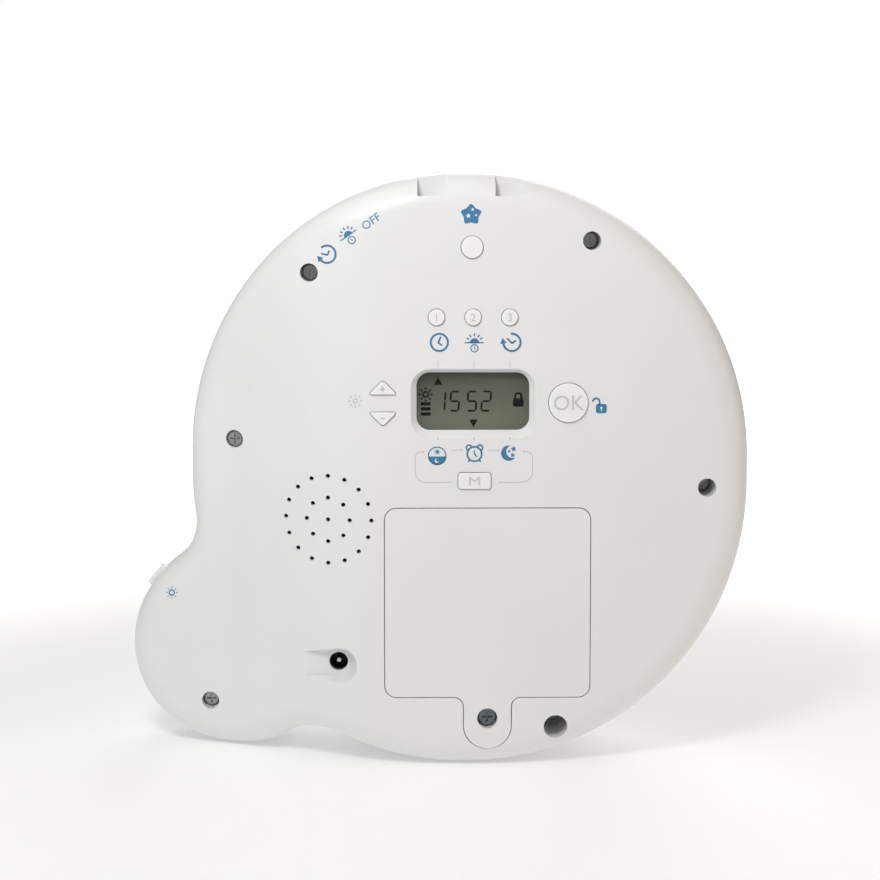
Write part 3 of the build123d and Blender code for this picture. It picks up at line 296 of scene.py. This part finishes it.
FINISHES = {
    case_white: ["back_shell", "front_shell", "battery_door"],
    key_white: [
        "set_key_1", "set_key_2", "set_key_3", "star_key", "ok_key", "mode_key", "up_key", "down_key",
        "light_key", "selector_knob",
    ],
    screw_steel: ["casing_screws", "board_screws"],
    screw_dark: ["door_screw"],
    contact_nickel: ["plus_contacts", "minus_contacts", "dc_jack_pin"],
    speaker_steel: ["speaker_frame", "speaker_magnet"],
    speaker_paper: ["speaker_cone"],
    black_plastic: [
        "controller_chip", "lcd_frame", "dc_jack", "speaker_clamp", "selector_switch", "selector_lever",
        "light_switch", "tact_switches",
    ],
    board_green: [
        "main_board", "selector_board", "light_switch_board", "sun_light_board", "moon_light_board",
        "dome_light_board",
    ],
    rubber_pink: ["zebra_strips"],
    reflector_white: ["sun_reflector", "moon_reflector", "dome_reflector"],
    led_cream: ["sun_leds", "moon_leds", "dome_leds"],
    lcd_grey: ["lcd_glass"],
    window_clear: ["lcd_window"],
    plate_blue: ["front_plate"],
    sun_amber: ["sun_lens"],
    moon_ice: ["moon_lens"],
    star_cream: ["star_lenses"],
    dome_frost: ["night_light_dome"],
    cell_jacket: ["battery_cell_1", "battery_cell_2", "battery_cell_3", "battery_cell_4"],
}
for finish, names in FINISHES.items():
    for name in names:
        nodes[name].data.materials.clear()
        nodes[name].data.materials.append(finish)


# -------------------------------------------------------------- shaping by hand
def deselect():
    bpy.ops.object.select_all(action="DESELECT")


def take(*pieces):
    """Select these pieces alone, the first one active."""
    deselect()
    for piece in pieces:
        piece.select_set(True)
    bpy.context.view_layer.objects.active = pieces[0]


def settle(piece):
    """Put a piece's place, turn and scale into its mesh."""
    take(piece)
    bpy.ops.object.transform_apply(location=True, rotation=True, scale=True)
    return piece


def open_mesh(chosen=lambda co: True):
    """Go into edit mode with the points chosen by their place."""
    bpy.ops.object.mode_set(mode="EDIT")
    bpy.ops.mesh.select_mode(type="VERT")
    bpy.ops.mesh.select_all(action="DESELECT")
    mesh = bmesh.from_edit_mesh(bpy.context.object.data)
    for vertex in mesh.verts:
        vertex.select = bool(chosen(vertex.co))
    mesh.select_flush(True)
    mesh.select_flush(False)
    bmesh.update_edit_mesh(bpy.context.object.data)


def close_mesh():
    bpy.ops.object.mode_set(mode="OBJECT")
    return bpy.context.object


def dot(u, v, radius, sides=28):
    """A filled disc."""
    deselect()
    bpy.ops.mesh.primitive_circle_add(
        vertices=sides, radius=radius * MM, fill_type="NGON", location=(u * MM, v * MM, 0)
    )
    return settle(bpy.context.object)


def ring(u, v, radius, width, sides=40):
    """A ring whose outer edge has that radius."""
    dot(u, v, radius, sides)
    open_mesh()
    bpy.ops.mesh.inset(thickness=width * MM)
    bpy.ops.mesh.delete(type="FACE")
    return close_mesh()


def bar(u1, v1, u2, v2, width, blunt=0.3):
    """A straight stroke with blunted corners."""
    deselect()
    length = math.hypot(u2 - u1, v2 - v1)
    bpy.ops.mesh.primitive_plane_add(
        size=1,
        location=((u1 + u2) / 2 * MM, (v1 + v2) / 2 * MM, 0),
        rotation=(0, 0, math.atan2(v2 - v1, u2 - u1)),
    )
    piece = bpy.context.object
    piece.scale = (length * MM, width * MM, 1)
    settle(piece)
    open_mesh()
    bpy.ops.mesh.bevel(offset=min(length, width) * blunt * MM, affect="VERTICES", segments=1)
    return close_mesh()


def ray(u, v, degrees, inner, outer, width):
    """A stroke that points away from a middle."""
    a = math.radians(degrees)
    across, up = math.cos(a), math.sin(a)
    return bar(u + inner * across, v + inner * up, u + outer * across, v + outer * up, width)


def arc(u, v, radius, width, start, sweep, steps=20):
    """Part of a ring whose outer edge has that radius, from a start angle, anticlockwise in degrees."""
    deselect()
    turn = math.radians(start)
    way = Matrix.Rotation(turn, 4, "Z") @ Vector(((radius - width / 2) * MM, width / 2 * MM, 0))
    bpy.ops.mesh.primitive_plane_add(
        size=width * MM, location=(u * MM + way.x, v * MM + way.y, 0), rotation=(0, 0, turn)
    )
    piece = bpy.context.object
    open_mesh(lambda co: co.y > 0)
    bpy.ops.mesh.delete(type="VERT")
    close_mesh()
    settle(piece)
    open_mesh()
    bpy.ops.mesh.spin(
        steps=steps, angle=-math.radians(sweep), center=(u * MM, v * MM, 0), axis=(0, 0, 1)
    )
    return close_mesh()


def wedge(u, v, radius, turn=0.0, squeeze=1.0):
    """A filled triangle that points up, turned anticlockwise in degrees."""
    deselect()
    bpy.ops.mesh.primitive_circle_add(
        vertices=3, radius=radius * MM, fill_type="NGON", location=(u * MM, v * MM, 0),
        rotation=(0, 0, math.radians(turn)),
    )
    bpy.context.object.scale = (squeeze, 1, 1)
    return settle(bpy.context.object)


def star(u, v, radius, waist, soft, turn=0.0):
    """A five-pointed star with softened tips."""
    tip_step = 72
    tip_reach = 0.95

    def between_tips(co):
        return round(math.degrees(math.atan2(co.y, co.x)) - 90) % tip_step != 0

    deselect()
    bpy.ops.mesh.primitive_circle_add(vertices=10, radius=radius * MM, fill_type="NGON")
    piece = bpy.context.object
    open_mesh(between_tips)
    bpy.ops.transform.resize(value=(waist, waist, 1), center_override=(0, 0, 0))
    close_mesh()
    open_mesh(lambda co: co.length > radius * tip_reach * MM)
    bpy.ops.mesh.bevel(offset=soft * MM, affect="VERTICES", segments=3)
    close_mesh()
    piece.rotation_euler.z = math.radians(turn)
    piece.location = (u * MM, v * MM, 0)
    return settle(piece)


def half_dot(u, v, radius, side):
    """Half of a filled disc: above (1) or below (-1) its middle."""
    dot(u, v, radius, sides=32)
    open_mesh()
    bpy.ops.mesh.bisect(
        plane_co=(u * MM, v * MM, 0), plane_no=(0, side, 0), clear_inner=True, clear_outer=False
    )
    return close_mesh()


def merge(body, other, operation):
    """Join another solid to a body, or cut it out of it, and use it up."""
    change = body.modifiers.new("merge", "BOOLEAN")
    change.operation = operation
    change.object = other
    change.solver = "EXACT"
    take(body)
    bpy.ops.object.modifier_apply(modifier="merge")
    bpy.data.objects.remove(other)


def crescent(u, v, radius, bite, bite_u, bite_v):
    """A moon: a disc with another disc bitten out of it."""
    sides = 40
    moon_depth, bite_depth = 1.0, 3.0
    moon = thicken(dot(u, v, radius, sides), moon_depth)
    tooth = dot(u + bite_u, v + bite_v, bite, sides)
    tooth.location.z = -MM
    thicken(settle(tooth), bite_depth)
    merge(moon, tooth, "DIFFERENCE")
    open_mesh(lambda co: co.z > moon_depth / 2 * MM)
    bpy.ops.mesh.delete(type="VERT")
    return close_mesh()


def lettering(words, u, v, height, widen=1.0):
    """Plain capitals or figures, centred."""
    capital_share = 0.72
    same_point = 0.00001
    deselect()
    bpy.ops.object.text_add()
    text = bpy.context.object
    text.data.body = words
    text.data.size = height * MM / capital_share
    text.data.align_x = "CENTER"
    text.data.align_y = "CENTER"
    text.data.resolution_u = 3
    bpy.ops.object.convert(target="MESH")
    piece = bpy.context.object
    low = min(vertex.co.y for vertex in piece.data.vertices)
    high = max(vertex.co.y for vertex in piece.data.vertices)
    piece.location = (u * MM, v * MM - (low + high) / 2, 0)
    piece.scale = (widen, 1, 1)
    settle(piece)
    open_mesh()
    bpy.ops.mesh.remove_doubles(threshold=same_point)
    return close_mesh()


def join(name, parts):
    """Make one piece of flat strokes."""
    take(*parts)
    if len(parts) > 1:
        bpy.ops.object.join()
    piece = bpy.context.object
    piece.name = name
    piece.data.name = name
    return piece


def draw_up(way):
    """Pull the open flat mesh up into a closed solid, with its faces outward."""
    bpy.ops.mesh.extrude_region_move(TRANSFORM_OT_translate={"value": way})
    bpy.ops.mesh.select_all(action="SELECT")
    bpy.ops.mesh.normals_make_consistent(inside=False)
    return close_mesh()


def thicken(piece, thickness):
    """Draw a flat shape up into a closed solid."""
    take(piece)
    open_mesh()
    return draw_up((0, 0, thickness * MM))


def tilt(piece, u, v, degrees):
    """Turn a flat drawing about a point of its sheet."""
    turn = Matrix.Rotation(math.radians(degrees), 4, "Z")
    point = Vector((u * MM, v * MM, 0))
    piece.matrix_world = Matrix.Translation(point) @ turn @ Matrix.Translation(-point)
    return settle(piece)


def dress(piece, finish, body):
    """Give a finished piece its material, and let it move with its body."""
    piece.data.materials.clear()
    piece.data.materials.append(finish)
    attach(piece, body)
    return piece


# How deep a drawing is sunk into what carries it, and how far a print stands out.
SUNK = 0.03
PRINT_RISE = 0.05
LINE_RISE = 0.03
OVERPRINT_RISE = 0.02
MARK_RISE = 0.12
# How far off the back a drawing starts before it is pressed on the rounded part.
PRESS_START = 6


def lay(name, parts, finish, sheet, rise=PRINT_RISE, body="casing"):
    """Lay flat strokes on a sheet as a thin closed solid, sunk a little into what carries it."""
    piece = thicken(join(name, parts), rise + SUNK)
    piece.matrix_world = sheet @ Matrix.Translation((0, 0, -SUNK * MM))
    settle(piece)
    return dress(piece, finish, body)


def wrap(name, parts, finish, rise=PRINT_RISE):
    """Lay strokes on the rounded part of the back: pressed on along Y, then drawn up."""
    piece = join(name, parts)
    open_mesh()
    bpy.ops.mesh.quads_convert_to_tris()
    bpy.ops.mesh.subdivide(number_cuts=2)
    close_mesh()
    piece.matrix_world = back_sheet(PRESS_START)
    settle(piece)
    hold = piece.modifiers.new("press", "SHRINKWRAP")
    hold.target = nodes["back_shell"]
    hold.wrap_method = "PROJECT"
    hold.use_project_y = True
    hold.use_negative_direction = True
    hold.use_positive_direction = False
    hold.offset = 0.0
    take(piece)
    bpy.ops.object.modifier_apply(modifier="press")
    open_mesh()
    bpy.ops.transform.translate(value=(0, -SUNK * MM, 0))
    draw_up((0, (rise + SUNK) * MM, 0))
    return dress(piece, finish, "casing")


# ------------------------------------------------------- drawings on the back
def sun_strokes(u, v, core, core_width, inner, outer, width):
    """A small sun: a ring, and eight rays round it."""
    return [ring(u, v, core, core_width, 24)] + [
        ray(u, v, 90 + 45 * number, inner, outer, width) for number in range(8)
    ]


def clock_strokes(u, v):
    hand = 0.62
    return [
        ring(u, v, 3.27, 0.7),
        bar(u - 0.43, v - 0.25, u + 0.5, v + 2.0, hand),
        bar(u - 0.5, v - 0.05, u + 0.95, v - 1.0, hand),
    ]


def waking_strokes(u, v):
    """The sun coming up over a line, with a small clock under it."""
    hand = 0.3
    return [half_dot(u, v - 0.1, 1.62, 1), bar(u - 3.4, v, u + 3.2, v, 0.42)] + [
        ray(u, v, degrees, 2.15, 3.2, 0.48) for degrees in (31, 58, 90, 122, 149)
    ] + [
        ring(u, v - 1.9, 1.42, 0.38, 28),
        bar(u, v - 1.95, u - 0.1, v - 1.2, hand),
        bar(u, v - 1.9, u + 0.5, v - 2.3, hand),
    ]


def nap_strokes(u, v):
    """A clock whose ring is an arrow that runs back."""
    hand = 0.62
    return [
        arc(u, v, 3.3, 0.72, -172, 270, 36),
        wedge(u - 3.0, v + 0.25, 1.3, 8),
        bar(u - 1.65, v + 1.4, u + 0.1, v - 0.4, hand),
        bar(u - 0.2, v - 0.4, u + 1.4, v + 0.65, hand),
    ]


def alarm_strokes(u, v):
    """A clock with two bells and two feet."""
    hand = 0.5
    parts = [ring(u, v - 0.2, 2.78, 0.62), bar(u - 0.05, v - 0.1, u - 0.1, v + 1.1, hand)]
    parts.append(bar(u - 0.1, v + 0.05, u + 0.8, v - 1.25, hand))
    for side, bell_start in ((-1, 25), (1, -85)):
        parts.append(arc(u + side * 1.85, v + 1.95, 1.2, 0.55, bell_start, 240, 16))
        parts.append(bar(u + side * 1.5, v - 2.2, u + side * 2.2, v - 2.9, 0.6))
    return parts


def day_strokes(u, v):
    """A disc that is dark below, with a small sun in its upper half."""
    sun_v = v + 1.35
    return [ring(u, v, 3.2, 0.4), half_dot(u, v - 0.2, 3.0, -1), dot(u, sun_v, 0.62, 16)] + [
        ray(u, sun_v, 45 * number, 0.75, 1.15, 0.22) for number in range(8)
    ]


def padlock_strokes(u, v, width, height, shackle, stroke, shift):
    """A padlock. Open, its shackle is moved sideways by shift and stands on one leg."""
    bow_rise, leg_foot = 0.55, 0.4
    body = bar(u - width / 2, v, u + width / 2, v, height, 0.15)
    bow_v = v + height / 2 + shackle * bow_rise
    legs = (1,) if shift else (1, -1)
    return [body, arc(u + shift, bow_v, shackle, stroke, 0, 180, 14)] + [
        bar(
            u + shift + side * (shackle - stroke / 2), bow_v,
            u + shift + side * (shackle - stroke / 2), v + height * leg_foot, stroke, 0.05,
        )
        for side in legs
    ]


def bracket_strokes(side, edge_u, arrow_u, end_u):
    """A thin line that leads round from the icons to the mode key. side is 1 for the left one."""
    top, foot, turn_top, turn_foot, width = 109.7, 99.2, 2.2, 3.7, 0.26
    top_start, foot_start = (90, 180) if side > 0 else (0, 270)
    return [
        arc(edge_u + side * turn_top, top - turn_top, turn_top + width / 2, width, top_start, 90),
        arc(edge_u + side * turn_foot, foot + turn_foot, turn_foot + width / 2, width, foot_start, 90),
        bar(edge_u, top - turn_top, edge_u, foot + turn_foot, width, 0.02),
        bar(edge_u + side * turn_foot, foot, end_u, foot, width, 0.02),
        wedge(arrow_u, top, 0.55, -90 * side),
    ]


# What draws each pictogram, and where its middle lies.
for name, strokes, u, v in (
    ("print_clock", clock_strokes, -9.1, 147.0),
    ("print_waking", waking_strokes, 2.85, 146.9),
    ("print_nap", nap_strokes, 15.6, 147.0),
    ("print_day_and_night", day_strokes, -9.86, 108.3),
    ("print_alarm", alarm_strokes, 2.88, 109.1),
):
    lay(name, strokes(u, v), ink_blue, back_sheet())
lay("print_moon", [
    crescent(14.6, 109.2, 2.65, 2.2, 1.35, 0.55),
    star(16.25, 110.65, 1.05, 0.5, 0.06, 12),
    star(14.7, 109.8, 0.65, 0.5, 0.04),
    star(15.95, 108.5, 0.9, 0.5, 0.05, -14),
], ink_blue, back_sheet())


def overprint(name, parts):
    """Print in white on top of a blue print."""
    lay(name, parts, ink_white, back_sheet(PRINT_RISE), OVERPRINT_RISE)


overprint("print_small_moon", [crescent(-9.9, 106.7, 0.75, 0.7, 0.35, 0.25)])
lay("print_star", [star(1.7, 190.2, 4.0, 0.66, 0.9)], ink_blue, back_sheet())
overprint("print_small_stars", [
    star(0.75, 189.8, 0.95, 0.45, 0.08, 10),
    star(2.2, 191.9, 0.65, 0.45, 0.06, -8),
    star(3.35, 190.0, 0.5, 0.45, 0.05, 15),
])
lay("print_padlock", padlock_strokes(46.2, 124.4, 3.7, 3.15, 1.45, 0.65, -1.75), ink_blue, back_sheet())
overprint("print_keyhole", [dot(46.2, 124.7, 0.38, 14), bar(46.2, 124.6, 46.2, 123.6, 0.32)])

# Thin grey lines: from the icons down to the display, dots under it, and arrows between the modes.
lay("print_lines", [
    bar(u, 140.6, u, 137.9, 0.2, 0.1) for u in (-9.57, 2.69, 14.95)
] + [
    dot(u, 114.2, 0.3, 12) for u in (-9.58, 2.71, 15.0)
] + [
    bar(-5.0, 110.1, -2.0, 110.3, 0.24), wedge(-1.6, 110.3, 0.5, -90),
    bar(7.6, 110.3, 10.4, 110.1, 0.24), wedge(10.9, 110.1, 0.5, -90),
], ink_grey, back_sheet(), LINE_RISE)
lay("print_left_bracket", bracket_strokes(1, -17.4, -14.6, -5.0), ink_grey, back_sheet(), LINE_RISE)
lay("print_right_bracket", bracket_strokes(-1, 22.8, 20.0, 11.0), ink_grey, back_sheet(), LINE_RISE)

# The selector's marks follow the rim.
RIM_TILT = 35
for name, strokes, u, v in (
    ("print_rim_nap", nap_strokes, -47.26, 176.5),
    ("print_rim_waking", waking_strokes, -39.9, 182.9),
    ("print_rim_off", lambda u, v: [lettering("OFF", u, v, 2.9)], -32.2, 187.6),
):
    wrap(name, [tilt(join(name, strokes(u, v)), u, v, RIM_TILT)], ink_blue)
wrap("print_lobe_sun", sun_strokes(-104.8, 55.4, 1.15, 0.45, 1.45, 2.15, 0.3), ink_blue)
# The raised sun is the case's own white plastic; its grey is painted shade of its edges.
wrap("raised_sun", sun_strokes(-37.76, 126.7, 0.95, 0.42, 1.7, 2.4, 0.6), mark_shade_grey, MARK_RISE)


# ----------------------------------------------------------------- the display
# The glass lies below the flat of the back, and all that it shows sits a little to the right.
LCD_DEPTH = 4.6
LCD_SHEET = back_sheet(-LCD_DEPTH)
LCD_SHIFT = 0.14
FIGURE_WIDTH = 3.0
FIGURE_HEIGHT = 6.6
FIGURE_LEAN = 0.07
FIGURE_STROKE = 0.66
FIGURE_GAP = 0.14
FIGURE_MIDDLE = 126.8
SEGMENTS = {
    "1": "bc",
    "2": "abged",
    "5": "afgcd",
}


def figure_strokes(figure, u, v):
    """One figure of bars, leaning a little."""
    half_w, half_h = FIGURE_WIDTH / 2, FIGURE_HEIGHT / 2
    bars = {
        "a": (-half_w, half_h, half_w, half_h),
        "g": (-half_w, 0, half_w, 0),
        "d": (-half_w, -half_h, half_w, -half_h),
        "f": (-half_w, 0, -half_w, half_h),
        "b": (half_w, 0, half_w, half_h),
        "e": (-half_w, -half_h, -half_w, 0),
        "c": (half_w, -half_h, half_w, 0),
    }
    parts = []
    for letter in SEGMENTS[figure]:
        u1, v1, u2, v2 = bars[letter]
        if v1 == v2:
            u1, u2 = u1 + FIGURE_GAP, u2 - FIGURE_GAP
        else:
            v1, v2 = v1 + FIGURE_GAP, v2 - FIGURE_GAP
        parts.append(bar(
            u + u1 + FIGURE_LEAN * v1, v + v1, u + u2 + FIGURE_LEAN * v2, v + v2, FIGURE_STROKE, 0.45
        ))
    return parts


def show(name, parts):
    """Put dark strokes on the display's glass."""
    lay(name, parts, lcd_ink, LCD_SHEET, OVERPRINT_RISE)


digits = []
for figure, u in (("1", -8.8), ("5", -3.9), ("5", 2.0), ("2", 6.9)):
    digits += figure_strokes(figure, u + LCD_SHIFT, FIGURE_MIDDLE)
show("lcd_figures", digits)
show("lcd_pointers", [wedge(-9.6 + LCD_SHIFT, 133.3, 1.75), wedge(2.5 + LCD_SHIFT, 119.6, 1.75, 180)])
show("lcd_sun", sun_strokes(-13.9 + LCD_SHIFT, 129.1, 1.2, 0.6, 1.6, 2.45, 0.62))
show("lcd_bars", [
    bar(-15.6 + LCD_SHIFT, v, -12.2 + LCD_SHIFT, v, 1.15, 0.1) for v in (125.9, 124.15, 122.4)
])
show("lcd_padlock", padlock_strokes(17.9 + LCD_SHIFT, 126.3, 3.7, 2.8, 1.45, 0.75, 0))


# ------------------------------------------------------------- marks on the keys
def mark(name, parts, key):
    """Raise a mark on a key's flat top, in a grey that paints the shade of its edges."""
    sheet = back_sheet((reach_out(key) - BACK_REACH) / MM)
    lay(name, parts, mark_shade_grey, sheet, MARK_RISE, key)


SIGN_WIDTH = 0.45
mark("mark_1", [lettering("1", -10.05, 155.5, 2.7)], "set_key_1")
mark("mark_2", [lettering("2", 2.4, 155.5, 2.7)], "set_key_2")
mark("mark_3", [lettering("3", 14.85, 155.5, 2.7)], "set_key_3")
mark("mark_ok", [lettering("OK", 34.9, 126.4, 5.2)], "ok_key")
mark("mark_m", [lettering("M", 2.9, 99.7, 3.1, 1.4)], "mode_key")
mark("mark_plus", [
    bar(-29.35, 131.1, -27.45, 131.1, SIGN_WIDTH), bar(-28.4, 130.15, -28.4, 132.05, SIGN_WIDTH),
], "up_key")
mark("mark_minus", [bar(-29.2, 121.2, -27.6, 121.2, SIGN_WIDTH)], "down_key")


# --------------------------------------------------------- the child's side
SOFT_EDGE = 0.3
RAY_RISE = 0.9
CLOUD_DEPTH = 1.2
CLOUD_SUNK = 0.1
PLATE_STAR_RISE = 0.3


def ray_strokes(x, z, inner, outer, count):
    """Pointed rays round the sun window."""
    ray_fill, ray_squeeze = 0.62, 0.75
    parts = []
    for number in range(count):
        turn = 360 * number / count
        a = math.radians(turn + 90)
        middle = (inner + outer) / 2
        parts.append(wedge(
            x + middle * math.cos(a), z + middle * math.sin(a), (outer - inner) * ray_fill, turn, ray_squeeze
        ))
    return parts


def soften(piece):
    """Round the upper edges of a raised piece."""
    edge_angle, smooth_angle = 40, 35
    round_over = piece.modifiers.new("round_over", "BEVEL")
    round_over.width = SOFT_EDGE * MM
    round_over.segments = 3
    round_over.limit_method = "ANGLE"
    round_over.angle_limit = math.radians(edge_angle)
    take(piece)
    bpy.ops.object.modifier_apply(modifier="round_over")
    bpy.ops.object.shade_smooth_by_angle(angle=math.radians(smooth_angle))


def cloud(name, x, z, size):
    """A low cloud: puffs over a flat foot, made one solid."""
    puffs = [(-0.9, 0.0, 0.42), (-0.35, 0.28, 0.58), (0.35, 0.2, 0.5), (0.9, -0.02, 0.4)]
    foot_reach = 0.95 * size
    foot_z = z - 0.2 * size
    body = thicken(bar(x - foot_reach, foot_z, x + foot_reach, foot_z, 0.44 * size, 0.48), CLOUD_DEPTH)
    for across, up, radius in puffs:
        puff = dot(x + across * size, z + up * size, radius * size, 40)
        merge(body, thicken(puff, CLOUD_DEPTH), "UNION")
    body.name = name
    body.data.name = name
    body.matrix_world = front_sheet(-CLOUD_SUNK)
    settle(body)
    dress(body, cloud_white, "casing")
    soften(body)


sun_rays = ray_strokes(-31, 127, 29, 35.5, 12)
soften(lay("sun_rays", sun_rays, ray_yellow, front_sheet(), RAY_RISE))
cloud("cloud_low", -30, 70, 16)
cloud("cloud_small", 20, 42, 11)
cloud("cloud_high", 24, 164, 9)
lay("plate_stars", [
    star(x, z, size, 0.45, size * 0.1, turn)
    for x, z, size, turn in (
        (66, 92, 2.6, 10), (63, 75, 1.8, -8), (-4, 92, 2.2, 0), (-66, 96, 2.0, 14), (44, 150, 2.0, 20),
        (-8, 50, 2.2, -12), (48, 48, 1.8, 6),
    )
], star_cream, front_sheet(), PLATE_STAR_RISE)


# ------------------------------------------------------------------ the floor
FLOOR_SIZE = 12
FLOOR_DROP = 0.00005
FLOOR_TONE = 0.82
FLOOR_ROUGHNESS = 0.55
# How strongly the floor glows for the camera: near the clock, and from where on it is white.
GLOW_NEAR = 0.22
GLOW_START = 0.18
GLOW_WHITE = 0.55
# How strongly it glows for all else, in place of a bright room's bounce.
GLOW_BOUNCE = 0.24

deselect()
bpy.ops.mesh.primitive_plane_add(size=FLOOR_SIZE, location=(0, 0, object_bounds()[0].z - FLOOR_DROP))
floor = bpy.context.object
floor.name = "floor"
floor_paint = bpy.data.materials.new("floor_paint")
floor_paint.use_nodes = True
floor_tree = floor_paint.node_tree
floor_shader = floor_tree.nodes["Principled BSDF"]
floor_shader.inputs["Base Color"].default_value = (FLOOR_TONE, FLOOR_TONE, FLOOR_TONE, 1)
floor_shader.inputs["Roughness"].default_value = FLOOR_ROUGHNESS
floor_shader.inputs["Emission Color"].default_value = (1, 1, 1, 1)
floor_path = floor_tree.nodes.new("ShaderNodeLightPath")
floor_place = floor_tree.nodes.new("ShaderNodeTexCoord")
floor_reach = floor_tree.nodes.new("ShaderNodeVectorMath")
floor_reach.operation = "LENGTH"
wire(floor_tree, floor_place, "Object", floor_reach, "Vector")
floor_fade = floor_tree.nodes.new("ShaderNodeMapRange")
floor_fade.interpolation_type = "SMOOTHSTEP"
floor_fade.inputs["From Min"].default_value = GLOW_START
floor_fade.inputs["From Max"].default_value = GLOW_WHITE
floor_fade.inputs["To Min"].default_value = GLOW_NEAR
floor_fade.inputs["To Max"].default_value = 1.0
wire(floor_tree, floor_reach, "Value", floor_fade, "Value")
floor_glow = floor_tree.nodes.new("ShaderNodeMapRange")
floor_glow.inputs["To Min"].default_value = GLOW_BOUNCE
wire(floor_tree, floor_fade, "Result", floor_glow, "To Max")
wire(floor_tree, floor_path, "Is Camera Ray", floor_glow, "Value")
wire(floor_tree, floor_glow, "Result", floor_shader, "Emission Strength")
floor.data.materials.append(floor_paint)


# ------------------------------------------------------------------- the light
# The room is white to the camera and through the window, and a dim warm white to all else.
ROOM_LEVEL = 0.34
ROOM_TINT = (1.0, 0.978, 0.945, 1)

world = bpy.data.worlds.new("studio")
bpy.context.scene.world = world
world.use_nodes = True
room = world.node_tree
sky = room.nodes["Background"]
path = room.nodes.new("ShaderNodeLightPath")
seen = room.nodes.new("ShaderNodeMath")
seen.operation = "MAXIMUM"
wire(room, path, "Is Camera Ray", seen, 0)
wire(room, path, "Is Transmission Ray", seen, 1)
level = room.nodes.new("ShaderNodeMapRange")
level.inputs["To Min"].default_value = ROOM_LEVEL
level.inputs["To Max"].default_value = 1.0
wire(room, seen, "Value", level, "Value")
wire(room, level, "Result", sky, "Strength")
tint = room.nodes.new("ShaderNodeMix")
tint.data_type = "RGBA"
tint.inputs[MIX_LOW].default_value = ROOM_TINT
tint.inputs[MIX_HIGH].default_value = (1, 1, 1, 1)
wire(room, seen, "Value", tint, MIX_SHARE)
wire(room, tint, MIX_COLOUR, sky, "Color")

# Place, aim, size in metres, power and colour of each lamp.
LAMPS = {
    "near_light": ((0.14, 0.34, 0.43), (0.05, 0, 0.20), 0.12, 1.02, (0.993, 0.998, 1.0)),
    "top_light": ((0.25, 0.15, 0.85), (0.0, 0, 0.12), 0.5, 1.0, (1, 1, 1)),
    "left_light": ((0.9, 0.5, 0.35), (0.05, 0, 0.08), 0.7, 0.3, (0.75, 0.9, 1.0)),
    "right_light": ((-1.0, 0.28, 0.4), (-0.05, 0, 0.08), 0.7, 1.5, (1.0, 0.74, 0.5)),
    "front_light": ((-0.3, -1.1, 0.7), (0, 0, 0.1), 0.9, 5, (1, 1, 1)),
}
for name, (place, aim, size, power, colour) in LAMPS.items():
    light = bpy.data.lights.new(name, "AREA")
    light.shape = "SQUARE"
    light.size = size
    light.energy = power
    light.color = colour
    lamp = bpy.data.objects.new(name, light)
    bpy.context.scene.collection.objects.link(lamp)
    lamp.location = place
    lamp.rotation_euler = (Vector(aim) - Vector(place)).to_track_quat("-Z", "Y").to_euler()
